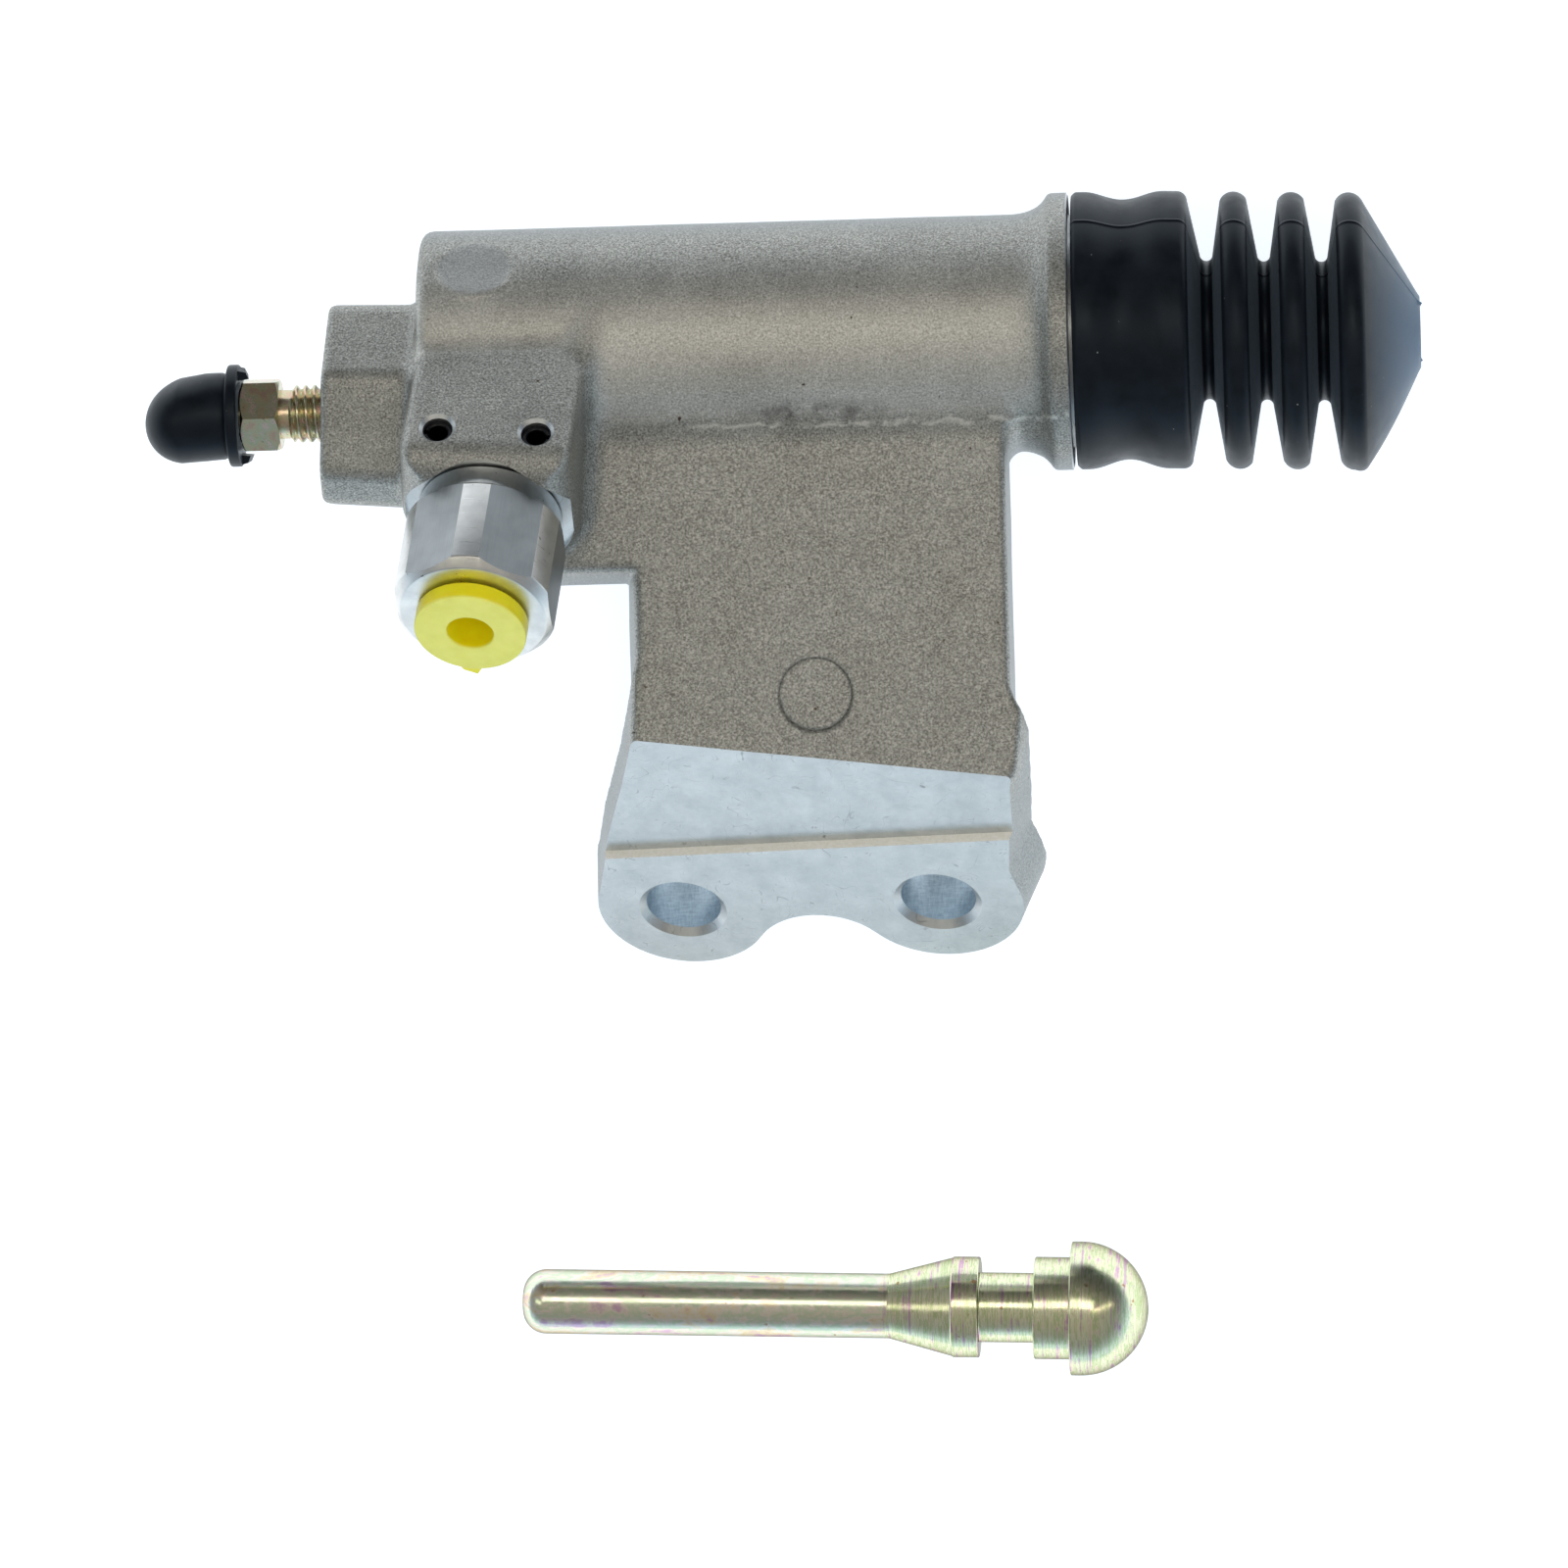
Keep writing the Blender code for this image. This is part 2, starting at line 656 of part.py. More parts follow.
def make_return_spring(parent, finish):
    """A compression spring from the bore's end to the piston's shoulder, its end turns wound flat."""
    start = BORE_BOTTOM + SEAT_GAP + SPRING_WIRE_R
    end = PISTON_MOUTH_END - PISTON_LENGTH - SEAT_GAP - SPRING_WIRE_R
    flat = SPRING_FLAT_TURNS
    flat_rise = SPRING_WIRE_R * 2.15 * flat
    steps_per_turn = 12
    sides = 5

    def height(turn):
        if turn < flat:
            return start + flat_rise * turn / flat
        if turn > SPRING_TURNS - flat:
            return end - flat_rise * (SPRING_TURNS - turn) / flat
        share = (turn - flat) / (SPRING_TURNS - 2.0 * flat)
        return start + flat_rise + (end - start - 2.0 * flat_rise) * share

    mesh = bmesh.new()
    rings = []
    count = int(SPRING_TURNS * steps_per_turn)
    for i in range(count + 1):
        turn = i / steps_per_turn
        angle = 2.0 * math.pi * turn
        outward = Vector((math.cos(angle), math.sin(angle), 0.0))
        centre = outward * SPRING_R + Vector((0.0, 0.0, height(turn)))
        ring = []
        for k in range(sides):
            around = 2.0 * math.pi * k / sides
            point = centre + outward * SPRING_WIRE_R * math.cos(around)
            point.z += SPRING_WIRE_R * math.sin(around)
            ring.append(mesh.verts.new(point))
        rings.append(ring)
    for low, high in zip(rings, rings[1:]):
        for k in range(sides):
            mesh.faces.new((low[k], high[k], high[(k + 1) % sides], low[(k + 1) % sides]))
    mesh.faces.new(rings[0])
    mesh.faces.new(rings[-1])
    bmesh.ops.triangulate(mesh, faces=mesh.faces)
    return solid("return_spring", mesh, parent, finish, smooth_angle=65.0)


# Dust boot


def boot_outer():
    waist = (BOOT_BAND_R - BOOT_WAIST_R) / 2.0
    band_steps = 6
    band_start = BOOT_START + 1.6 * MM
    band_stop = 2.0 * SPIGOT_GROOVE_AT - band_start
    points = [(BOOT_START, BOOT_BAND_R - 0.3 * MM), (BOOT_START + 0.4 * MM, BOOT_BAND_R)]
    for i in range(band_steps + 1):
        share = i / band_steps
        dip = waist * (1.0 - math.cos(2.0 * math.pi * share))
        points.append((band_start + (band_stop - band_start) * share, BOOT_BAND_R - dip))
    points += arc((BOOT_BAND_END - 1.3 * MM, BOOT_BAND_R - 1.3 * MM), 1.3 * MM, 90.0, 0.0, 2)
    for i in range(BOOT_CRESTS):
        crest = BOOT_FIRST_CREST + BOOT_CREST_PITCH * i
        neck = crest - BOOT_CREST_PITCH / 2.0
        points += arc((neck, BOOT_NECK_R + BOOT_NECK_ROUND), BOOT_NECK_ROUND, 205.0, 335.0, 2)
        points += arc((crest, BOOT_CREST_R - BOOT_CREST_ROUND), BOOT_CREST_ROUND, 155.0, 35.0, 2)
    points += [(BOOT_NOSE_END - 0.4 * MM, BOOT_NOSE_R + 0.3 * MM), (BOOT_NOSE_END, BOOT_NOSE_R - 0.3 * MM)]
    return points


def boot_inner():
    """The boot's inside, from the nose back to the band that grips the spigot."""
    nose_start = BOOT_NOSE_END - BOOT_NOSE_LENGTH
    lip = 0.6 * MM
    neck_r = BOOT_NECK_R - BOOT_WALL
    crest_r = BOOT_CREST_R - BOOT_WALL
    points = [
        (BOOT_NOSE_END, BOOT_HOLE_R + lip),
        (BOOT_NOSE_END - lip, BOOT_HOLE_R),
        (nose_start + lip, BOOT_HOLE_R),
        (nose_start, BOOT_HOLE_R + lip),
        (nose_start, BOOT_NECK_R + 2.6 * MM),
    ]
    for i in reversed(range(BOOT_CRESTS)):
        crest = BOOT_FIRST_CREST + BOOT_CREST_PITCH * i
        neck = crest - BOOT_CREST_PITCH / 2.0
        points += [
            (crest, crest_r),
            (neck + BOOT_WALL + BOOT_NECK_ROUND, BOOT_NECK_R),
            (neck + BOOT_NECK_ROUND, neck_r),
        ]
        if i:
            points += [(neck - BOOT_NECK_ROUND, neck_r), (neck - BOOT_WALL - BOOT_NECK_ROUND, BOOT_NECK_R)]
    inside_r = SPIGOT_R + SEAT_GAP
    bead_r = inside_r - SPIGOT_GROOVE_DEPTH
    spigot_end = SPIGOT_LENGTH + SEAT_GAP
    half = SPIGOT_GROOVE_WIDTH / 2.0
    points += [
        (spigot_end + 0.9 * MM, neck_r),
        (spigot_end, neck_r + 0.9 * MM),
        (spigot_end, inside_r),
        (SPIGOT_GROOVE_AT + half + SPIGOT_GROOVE_DEPTH, inside_r),
        (SPIGOT_GROOVE_AT + half, bead_r),
        (SPIGOT_GROOVE_AT - half, bead_r),
        (SPIGOT_GROOVE_AT - half - SPIGOT_GROOVE_DEPTH, inside_r),
        (BOOT_START, inside_r),
    ]
    return points


def make_dust_boot(parent, finish):
    return solid("dust_boot", turned(boot_outer() + boot_inner(), BOOT_FACETS), parent, finish)


# Inlet pieces


def make_hose_joint(parent, finish):
    """Hexagon turned from round bar, so its corners are cut back, on a spigot with two grooves."""
    prism = drafted(hexagon(HEX_FLATS, HEX_TURN), [(HEX_START, 0.0), (HEX_END, 0.0)])
    joint = solid("hose_joint", prism, parent, finish)
    envelope = [
        (HEX_START - 1.0 * MM, 0.0),
        (HEX_START - 1.0 * MM, HEX_CORNER_R - HEX_CHAMFER - 1.0 * MM),
        (HEX_START + HEX_CHAMFER, HEX_CORNER_R),
        (HEX_END - HEX_CHAMFER, HEX_CORNER_R),
        (HEX_END + 1.0 * MM, HEX_CORNER_R - HEX_CHAMFER - 1.0 * MM),
        (HEX_END + 1.0 * MM, 0.0),
    ]
    spigot_r = SOCKET_R - SPIGOT_GAP
    spigot_end = SOCKET_BOTTOM + SEAT_GAP
    chamfer = 0.6 * MM
    pin_groove_r = PIN_OFFSET - PIN_R - PIN_GAP
    ring_groove_r = spigot_r - 2.0 * O_RING_R - 0.03 * MM
    half_ring = O_RING_GROOVE_WIDTH / 2.0
    half_pin = PIN_GROOVE_WIDTH / 2.0
    neck_start = BLOCK_LENGTH - SPOTFACE_DEPTH + SEAT_GAP
    spigot = [
        (spigot_end, 0.0),
        (spigot_end, spigot_r - chamfer),
        (spigot_end + chamfer, spigot_r),
        (O_RING_AT - half_ring, spigot_r),
        (O_RING_AT - half_ring, ring_groove_r),
        (O_RING_AT + half_ring, ring_groove_r),
        (O_RING_AT + half_ring, spigot_r),
        (PIN_AT - half_pin, spigot_r),
        (PIN_AT - half_pin, pin_groove_r),
        (PIN_AT + half_pin, pin_groove_r),
        (PIN_AT + half_pin, spigot_r),
        (neck_start, spigot_r),
        (neck_start, NECK_R),
        (HEX_START + 1.0 * MM, NECK_R),
        (HEX_START + 1.0 * MM, 0.0),
    ]
    past = 1.0 * MM
    passage = [
        (HEX_END + past, 0.0),
        (HEX_END + past, HOSE_THREAD_R + 0.8 * MM + past),
        (HEX_END - 0.8 * MM, HOSE_THREAD_R),
        (HEX_END - HOSE_THREAD_DEPTH, HOSE_THREAD_R),
        (HEX_END - HOSE_THREAD_DEPTH - 2.0 * MM, PASSAGE_R),
        (spigot_end - past, PASSAGE_R),
        (spigot_end - past, 0.0),
    ]
    boolean(joint, tool("hex_envelope", turned(envelope, SMALL_FACETS), parent), "INTERSECT")
    boolean(joint, tool("joint_spigot", turned(spigot, SMALL_FACETS), parent), "UNION")
    boolean(joint, tool("joint_passage", turned(passage, SMALL_FACETS), parent), "DIFFERENCE")
    return joint


def make_o_ring(parent, finish):
    section = arc((O_RING_AT, SOCKET_R - SPIGOT_GAP - O_RING_R), O_RING_R, 0.0, 315.0, 7)
    return solid("joint_o_ring", turned(section, SMALL_FACETS), parent, finish)


def make_roll_pin(name, parent, slot_turn, finish):
    """A slotted spring pin: sheet rolled round its hole, open along one side."""
    inner_r = PIN_R - PIN_WALL
    half_slot = PIN_SLOT / 2.0
    outer_edge = math.degrees(math.asin(half_slot / PIN_R))
    inner_edge = math.degrees(math.asin(half_slot / inner_r))
    outside = arc((0.0, 0.0), PIN_R, outer_edge, 360.0 - outer_edge, TINY_FACETS)
    inside = arc((0.0, 0.0), inner_r, inner_edge, 360.0 - inner_edge, TINY_FACETS)
    top = BLOCK_FACE - PIN_RECESS
    bottom = top - PIN_LENGTH
    mesh = bmesh.new()
    strips = []
    for outer, inner in zip(outside, inside):
        corners = ((*outer, bottom), (*outer, top), (*inner, top), (*inner, bottom))
        strips.append([mesh.verts.new(corner) for corner in corners])
    for here, there in zip(strips, strips[1:]):
        for i in range(4):
            mesh.faces.new((here[i], there[i], there[(i + 1) % 4], here[(i + 1) % 4]))
    mesh.faces.new(strips[0])
    mesh.faces.new(strips[-1])
    pin = solid(name, mesh, parent, finish)
    pin.rotation_euler.z = slot_turn
    return pin


def make_transit_plug(parent, finish):
    flange_back = HEX_END + PLUG_STANDS_OFF
    front = flange_back + PLUG_FLANGE_THICKNESS
    tip = flange_back - PLUG_NECK_LENGTH
    edge = 0.3 * MM
    profile = [
        (tip, 0.0),
        (tip, PLUG_NECK_R - 0.6 * MM),
        (tip + 1.2 * MM, PLUG_NECK_R),
        (flange_back, PLUG_NECK_R),
        (flange_back, PLUG_FLANGE_R - edge),
        (flange_back + edge, PLUG_FLANGE_R),
        (front - edge, PLUG_FLANGE_R),
        (front, PLUG_FLANGE_R - edge),
        (front, PLUG_HOLE_R),
        (front - PLUG_HOLE_DEPTH, PLUG_HOLE_R),
        (front - PLUG_HOLE_DEPTH, 0.0),
    ]
    return solid("transit_plug", turned(profile, SMALL_FACETS), parent, finish)


# Bleeder pieces


def make_bleed_screw(parent, finish):
    hex_end = BLEED_HEX_AT + BLEED_HEX_LENGTH
    prism = drafted(hexagon(BLEED_HEX_FLATS, BLEED_HEX_TURN), [(BLEED_HEX_AT, 0.0), (hex_end, 0.0)])
    screw = solid("bleed_screw", prism, parent, finish)
    corner_r = BLEED_HEX_FLATS / math.sqrt(3.0)
    chamfer = 0.5 * MM
    past = 1.0 * MM
    envelope = [
        (BLEED_HEX_AT - past, 0.0),
        (BLEED_HEX_AT - past, corner_r - 2.0 * (chamfer + past)),
        (BLEED_HEX_AT + chamfer / 2.0, corner_r + chamfer),
        (hex_end - chamfer / 2.0, corner_r + chamfer),
        (hex_end + past, corner_r - 2.0 * (chamfer + past)),
        (hex_end + past, 0.0),
    ]
    seat = -BLEED_HOLE_DEPTH
    needle = seat - BLEED_SEAT_LENGTH
    shank_r = BLEED_THREAD_R - 0.8 * MM
    shaft = [
        (needle + 0.1 * MM, 0.0),
        (needle + 0.1 * MM, BLEED_PASSAGE_R - 0.35 * MM),
        (seat - 1.2 * MM, BLEED_PASSAGE_R + 1.1 * MM),
        (seat - 0.6 * MM, shank_r),
        (seat + 3.0 * MM, shank_r),
        (seat + 3.8 * MM, BLEED_THREAD_R),
        (BLEED_THREAD_OUT - 0.6 * MM, BLEED_THREAD_R),
        (BLEED_THREAD_OUT, BLEED_NECK_R),
        (BLEED_HEX_AT, BLEED_NECK_R),
        (hex_end, BLEED_NECK_R),
        (hex_end, NIPPLE_R),
        (NIPPLE_END - 4.5 * MM, NIPPLE_R),
        (NIPPLE_END - 4.0 * MM, NIPPLE_BARB_R),
        (NIPPLE_END - 0.8 * MM, NIPPLE_R - 0.2 * MM),
        (NIPPLE_END, NIPPLE_R - 0.8 * MM),
        (NIPPLE_END, 0.0),
    ]
    cross_at = seat + 1.4 * MM
    bore = [
        (NIPPLE_END + past, 0.0),
        (NIPPLE_END + past, NIPPLE_BORE_R),
        (cross_at, NIPPLE_BORE_R),
        (cross_at - 0.6 * MM, 0.0),
    ]
    cross = [
        (-BLEED_THREAD_R, 0.0),
        (-BLEED_THREAD_R, NIPPLE_CROSS_R),
        (BLEED_THREAD_R, NIPPLE_CROSS_R),
        (BLEED_THREAD_R, 0.0),
    ]
    cross_hole = tool("bleed_cross_hole", turned(cross, TINY_FACETS), parent)
    cross_hole.location.z = cross_at
    cross_hole.rotation_euler.y = math.pi / 2.0
    boolean(screw, tool("bleed_hex_envelope", turned(envelope, SMALL_FACETS), parent), "INTERSECT")
    boolean(screw, tool("bleed_shaft", turned(shaft, SMALL_FACETS), parent), "UNION")
    boolean(screw, tool("bleed_bore", turned(bore, TINY_FACETS), parent), "DIFFERENCE")
    boolean(screw, cross_hole, "DIFFERENCE")
    return screw


def make_bleed_cap(parent, finish):
    mouth = BLEED_HEX_AT + BLEED_HEX_LENGTH + SEAT_GAP
    flange_end = mouth + CAP_FLANGE_THICKNESS
    dome_start = CAP_TIP - CAP_R
    bore_r = NIPPLE_BARB_R + 0.1 * MM
    bore_end = mouth + CAP_BORE_LENGTH
    edge = 0.3 * MM
    profile = [
        (bore_end, 0.0),
        (bore_end - 1.0 * MM, bore_r),
        (mouth, bore_r),
        (mouth, CAP_FLANGE_R - edge),
        (mouth + edge, CAP_FLANGE_R),
        (flange_end - edge, CAP_FLANGE_R),
        (flange_end, CAP_FLANGE_R - edge),
        (flange_end, CAP_WAIST_R),
        (flange_end + 1.5 * MM, CAP_WAIST_R),
    ]
    profile += arc((dome_start, 0.0), CAP_R, 90.0, 0.0, 5)[:-1] + [(CAP_TIP, 0.0)]
    return solid("bleed_cap", turned(profile, SMALL_FACETS), parent, finish)


# Push rod


def make_push_rod(parent, finish):
    cone_start = ROD_SHAFT_LENGTH
    collar = cone_start + ROD_CONE_LENGTH
    groove = collar + ROD_COLLAR_LENGTH
    second = groove + ROD_GROOVE_LENGTH
    head = second + ROD_SECOND_COLLAR_LENGTH
    ball = head + ROD_HEAD_RIM
    edge = 0.3 * MM
    tip = arc((ROD_TIP_ROUND, ROD_R - ROD_TIP_ROUND), ROD_TIP_ROUND, 180.0, 90.0, 3)
    shaft = [
        (cone_start, ROD_R),
        (collar, ROD_COLLAR_R - edge),
        (collar + edge, ROD_COLLAR_R),
        (groove - edge, ROD_COLLAR_R),
        (groove, ROD_COLLAR_R - edge),
        (groove, ROD_GROOVE_R),
        (second, ROD_GROOVE_R),
        (second, ROD_SECOND_COLLAR_R - edge),
        (second + edge, ROD_SECOND_COLLAR_R),
        (head, ROD_SECOND_COLLAR_R),
        (head, ROD_HEAD_R - edge),
        (head + edge, ROD_HEAD_R),
    ]
    dome = arc((ball, 0.0), ROD_HEAD_R, 90.0, 0.0, 7)[:-1] + [(ball + ROD_HEAD_R, 0.0)]
    return solid("push_rod", turned([(0.0, 0.0)] + tip + shaft + dome, SMALL_FACETS), parent, finish)


def rod_length():
    collars = ROD_COLLAR_LENGTH + ROD_GROOVE_LENGTH + ROD_SECOND_COLLAR_LENGTH
    return ROD_SHAFT_LENGTH + ROD_CONE_LENGTH + collars + ROD_HEAD_RIM + ROD_HEAD_R


# Assembly


def make_frames():
    """Empties that carry the pieces. Each turned piece runs along its frame's Z."""
    quarter = math.pi / 2.0
    laid = Matrix.Rotation(LAY_BACK, 4, "X") @ Matrix.Rotation(LAY_SIDE, 4, "Y")
    cylinder = frame("cylinder_frame", turn=laid)
    tilted = Matrix.Rotation(MACHINED_TILT, 4, "X") @ Matrix.Rotation(-MACHINED_LEAN, 4, "Y")
    machined = frame("machined_frame", cylinder, turn=tilted)
    pad_turn = Matrix.Rotation(PAD_TURN, 4, "Z")
    ejector_turn = Matrix.Rotation(-EJECTOR_TURN, 4, "X")
    inlet = frame("inlet_frame", cylinder, (INLET_X, 0.0, 0.0), tilted)
    boss_face = BARREL_END - BOSS_LENGTH
    boss = frame("boss_frame", cylinder, (boss_face, 0.0, 0.0), Matrix.Rotation(-quarter, 4, "Y"))
    frames = {
        "cylinder": cylinder,
        "bore": frame("bore_frame", cylinder, turn=Matrix.Rotation(quarter, 4, "Y")),
        "pad": frame("pad_frame", machined, (PAD_X, PAD_Y, PAD_DISTANCE), pad_turn),
        "inlet": inlet,
        "boss": boss,
        "ejector": frame("ejector_frame", cylinder, (EJECTOR_X, 0.0, 0.0), ejector_turn),
        "bleed": frame("bleed_frame", boss, (BLEED_Z, BLEED_Y, 0.0)),
    }
    upright = Matrix.Rotation(-quarter, 4, "X")
    for side, x in (("left", -PIN_OFFSET), ("right", PIN_OFFSET)):
        frames[f"pin_{side}"] = frame(f"pin_{side}_frame", inlet, (x, 0.0, PIN_AT), upright)
    heading = Matrix.Rotation(ROD_HEADING, 4, "Z")
    ball_at = rod_length() - ROD_HEAD_R
    rise = math.asin((ROD_HEAD_R - ROD_R) / (ball_at - ROD_TIP_ROUND))
    lying = heading @ Matrix.Rotation(quarter - rise, 4, "Y")
    frames["rod"] = frame("rod_frame", None, (ROD_TIP_X, ROD_TIP_Y, 0.0), lying)
    return frames


def world_corners(objects):
    """Every vertex of the finished objects, in the world."""
    graph = bpy.context.evaluated_depsgraph_get()
    corners = []
    for thing in objects:
        final = thing.evaluated_get(graph)
        corners += [final.matrix_world @ vert.co for vert in final.data.vertices]
    return corners


def stand_on_table(carrier, objects):
    """Moves a carrying frame up or down until its lowest point is at Z = 0."""
    carrier.location.z -= min(corner.z for corner in world_corners(objects))
    bpy.context.view_layer.update()


def centre_on_origin(carriers, objects):
    """Moves everything so that the middle of the whole outline, seen from above, is at the origin."""
    corners = world_corners(objects)
    for axis in (0, 1):
        middle = (min(c[axis] for c in corners) + max(c[axis] for c in corners)) / 2.0
        for carrier in carriers:
            carrier.location[axis] -= middle
    bpy.context.view_layer.update()


def make_finishes():
    return {
        "cast": material("cast_aluminium", (0.36, 0.35, 0.33), 0.6, 0.7),
        "anodised": material("anodised_aluminium", (0.55, 0.57, 0.6), 0.35, 1.0),
        "turned": material("turned_aluminium", (0.62, 0.66, 0.7), 0.35, 1.0),
        "zinc": material("yellow_zinc_steel", (0.62, 0.52, 0.3), 0.25, 1.0),
        "spring": material("spring_steel", (0.25, 0.25, 0.26), 0.4, 1.0),
        "black_steel": material("black_spring_steel", (0.03, 0.03, 0.035), 0.4, 0.9),
        "rubber": material("black_rubber", (0.012, 0.013, 0.015), 0.4, 0.0),
        "yellow": material("yellow_plastic", (0.8, 0.72, 0.03), 0.4, 0.0),
    }


def build():
    clear_scene()
    finish = make_finishes()
    frames = make_frames()
    bore, inlet, bleed = frames["bore"], frames["inlet"], frames["bleed"]
    skirt_groove, head_groove = piston_grooves()
    cylinder_pieces = [
        make_cylinder_body(frames, finish["cast"]),
        make_piston(bore, finish["anodised"]),
        make_cup("primary_cup", head_groove, bore, finish["rubber"]),
        make_cup("secondary_cup", skirt_groove, bore, finish["rubber"]),
        make_return_spring(bore, finish["spring"]),
        make_dust_boot(bore, finish["rubber"]),
        make_hose_joint(inlet, finish["turned"]),
        make_o_ring(inlet, finish["rubber"]),
        make_roll_pin("roll_pin_left", frames["pin_left"], math.pi, finish["black_steel"]),
        make_roll_pin("roll_pin_right", frames["pin_right"], 0.0, finish["black_steel"]),
        make_transit_plug(inlet, finish["yellow"]),
        make_bleed_screw(bleed, finish["zinc"]),
        make_bleed_cap(bleed, finish["rubber"]),
    ]
    rod_pieces = [make_push_rod(frames["rod"], finish["zinc"])]
    bpy.context.view_layer.update()
    stand_on_table(frames["cylinder"], cylinder_pieces)
    stand_on_table(frames["rod"], rod_pieces)
    centre_on_origin([frames["cylinder"], frames["rod"]], cylinder_pieces + rod_pieces)


build()
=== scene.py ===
"""The looks of a clutch slave cylinder with its push rod drawn out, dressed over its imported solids.

Shapes are worked out in millimetres, in the same frames as the solids: X runs along the bore toward the
boot, X = 0 is the flange's face and the web's front faces +Z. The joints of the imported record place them.
"""

import itertools
import json
import math
from functools import partialmethod

import bpy
import numpy as np
from mathutils import Matrix, Vector


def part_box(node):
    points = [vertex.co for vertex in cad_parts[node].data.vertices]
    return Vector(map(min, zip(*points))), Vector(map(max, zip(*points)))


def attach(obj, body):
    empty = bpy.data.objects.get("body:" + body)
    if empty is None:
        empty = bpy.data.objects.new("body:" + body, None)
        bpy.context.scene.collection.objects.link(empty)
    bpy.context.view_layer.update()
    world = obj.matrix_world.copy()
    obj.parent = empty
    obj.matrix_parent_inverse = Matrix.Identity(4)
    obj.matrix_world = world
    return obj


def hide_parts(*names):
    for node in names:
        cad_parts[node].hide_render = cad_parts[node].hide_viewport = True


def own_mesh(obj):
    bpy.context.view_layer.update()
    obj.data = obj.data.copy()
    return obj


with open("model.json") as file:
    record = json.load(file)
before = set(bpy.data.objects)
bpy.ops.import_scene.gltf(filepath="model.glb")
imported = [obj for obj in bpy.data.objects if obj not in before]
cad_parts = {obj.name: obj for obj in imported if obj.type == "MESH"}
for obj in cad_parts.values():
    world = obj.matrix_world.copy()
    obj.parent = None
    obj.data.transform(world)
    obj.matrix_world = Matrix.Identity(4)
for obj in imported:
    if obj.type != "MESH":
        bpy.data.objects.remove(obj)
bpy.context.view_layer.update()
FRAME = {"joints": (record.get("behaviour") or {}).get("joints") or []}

MM = 0.001
STILL = Matrix.Identity(4)

# Shared clearances: between seated pieces, and how far a cutting tool reaches past a face
SEAT_GAP = 0.3
PAST = 1.0

# Casting: barrel and spigot
BORE_R = 9.525
BORE_BOTTOM = -80.0
MOUTH_CHAMFER = 0.8
BARREL_R = 16.3
BARREL_END = -89.3
BARREL_END_ROUND = 1.6
FLANGE_R = 19.1
FLANGE_RIM = 2.2
FLANGE_SHOULDER = 0.9
FLARE_LENGTH = 5.0
SPIGOT_R = 16.0
SPIGOT_LENGTH = 14.0
SPIGOT_GROOVE_DEPTH = 0.9
SPIGOT_GROOVE_AT = 7.6
SPIGOT_GROOVE_WIDTH = 5.0

# Casting: marks of the ejector pins
EJECTOR_R = 5.0
EJECTOR_X = -81.3
EJECTOR_TURN = math.radians(40.5)
EJECTOR_FLAT_AT = 15.9
EJECTOR_EDGE = 0.4
EJECTOR_FILLET = 0.5
EJECTOR_STEP_EDGE = 0.3
EJECTOR_RIM_EDGE = 0.35
WEB_MARK_X = -36.0
WEB_MARK_Y = -49.2
WEB_MARK_R = 5.0
WEB_MARK_TILT = math.radians(1.2)

# Casting: web
WEB_FRONT = 11.2
WEB_LEFT = -60.5
WEB_RIGHT = -9.3
WEB_BOTTOM = -61.0
WEB_DRAFT_LEFT = 1.6
WEB_DRAFT_RIGHT = 0.1
SHELF_LEFT = -80.0
SHELF_BOTTOM = -31.6

# Machined frame
MACHINED_TILT = math.radians(51.5)
MACHINED_LEAN = math.radians(5.5)
PAD_DISTANCE = 57.0
PAD_RELIEF = 1.45
PAD_X = -33.5
PAD_Y = -58.7
PAD_TURN = math.radians(7.5)

# Mounting lug
BOLT_SPACING = 36.4
BOLT_HOLE_R = 5.25
BOLT_CHAMFER = 0.95
LOBE_R = 11.8
NOTCH_R = 10.0
NOTCH_DROP = 12.0
RISER_AT = 13.0
RISER_TURN = math.radians(1.4)
LUG_TOP = 44.0
LUG_THICKNESS = 12.0
LUG_PARTING = 9.0
LUG_DRAFT = 1.4
LUG_BULGE = 1.1

# Inlet block
INLET_X = -76.45
BLOCK_HALF_WIDTH = 11.7
BLOCK_FACE = 12.6
BLOCK_LENGTH = 32.3
SPOTFACE_R = 11.7
SPOTFACE_DEPTH = 2.6
SOCKET_R = 7.05
SOCKET_BOTTOM = 13.5
PORT_R = 1.5
PIN_R = 2.0
PIN_WALL = 0.65
PIN_SLOT = 0.7
PIN_LENGTH = 20.0
PIN_RECESS = 1.0
PIN_OFFSET = 6.75
PIN_AT = BLOCK_LENGTH - 6.4
PIN_GAP = 0.05
PIN_HOLE_CHAMFER = 0.45

# Hose joint and transit plug
HEX_FLATS = 21.0
HEX_CORNER_R = 11.2
HEX_START = BLOCK_LENGTH + 0.7
HEX_END = HEX_START + 15.2
HEX_CHAMFER = 1.2
HEX_TURN = math.radians(1.5)
NECK_R = 9.8
SPIGOT_GAP = 0.08
PIN_GROOVE_WIDTH = 4.3
O_RING_AT = (SOCKET_BOTTOM + PIN_AT - PIN_GROOVE_WIDTH / 2.0) / 2.0
O_RING_R = 0.95
O_RING_GROOVE_WIDTH = 2.6
HOSE_THREAD_R = 5.6
HOSE_THREAD_DEPTH = 13.0
PASSAGE_R = 1.6
PLUG_NECK_R = 5.4
PLUG_NECK_LENGTH = 7.0
PLUG_FLANGE_R = 7.65
PLUG_FLANGE_THICKNESS = 2.7
PLUG_STANDS_OFF = 0.4
PLUG_HOLE_R = 3.2
PLUG_HOLE_DEPTH = 6.5
PLUG_GATE_AT = math.radians(-93.0)

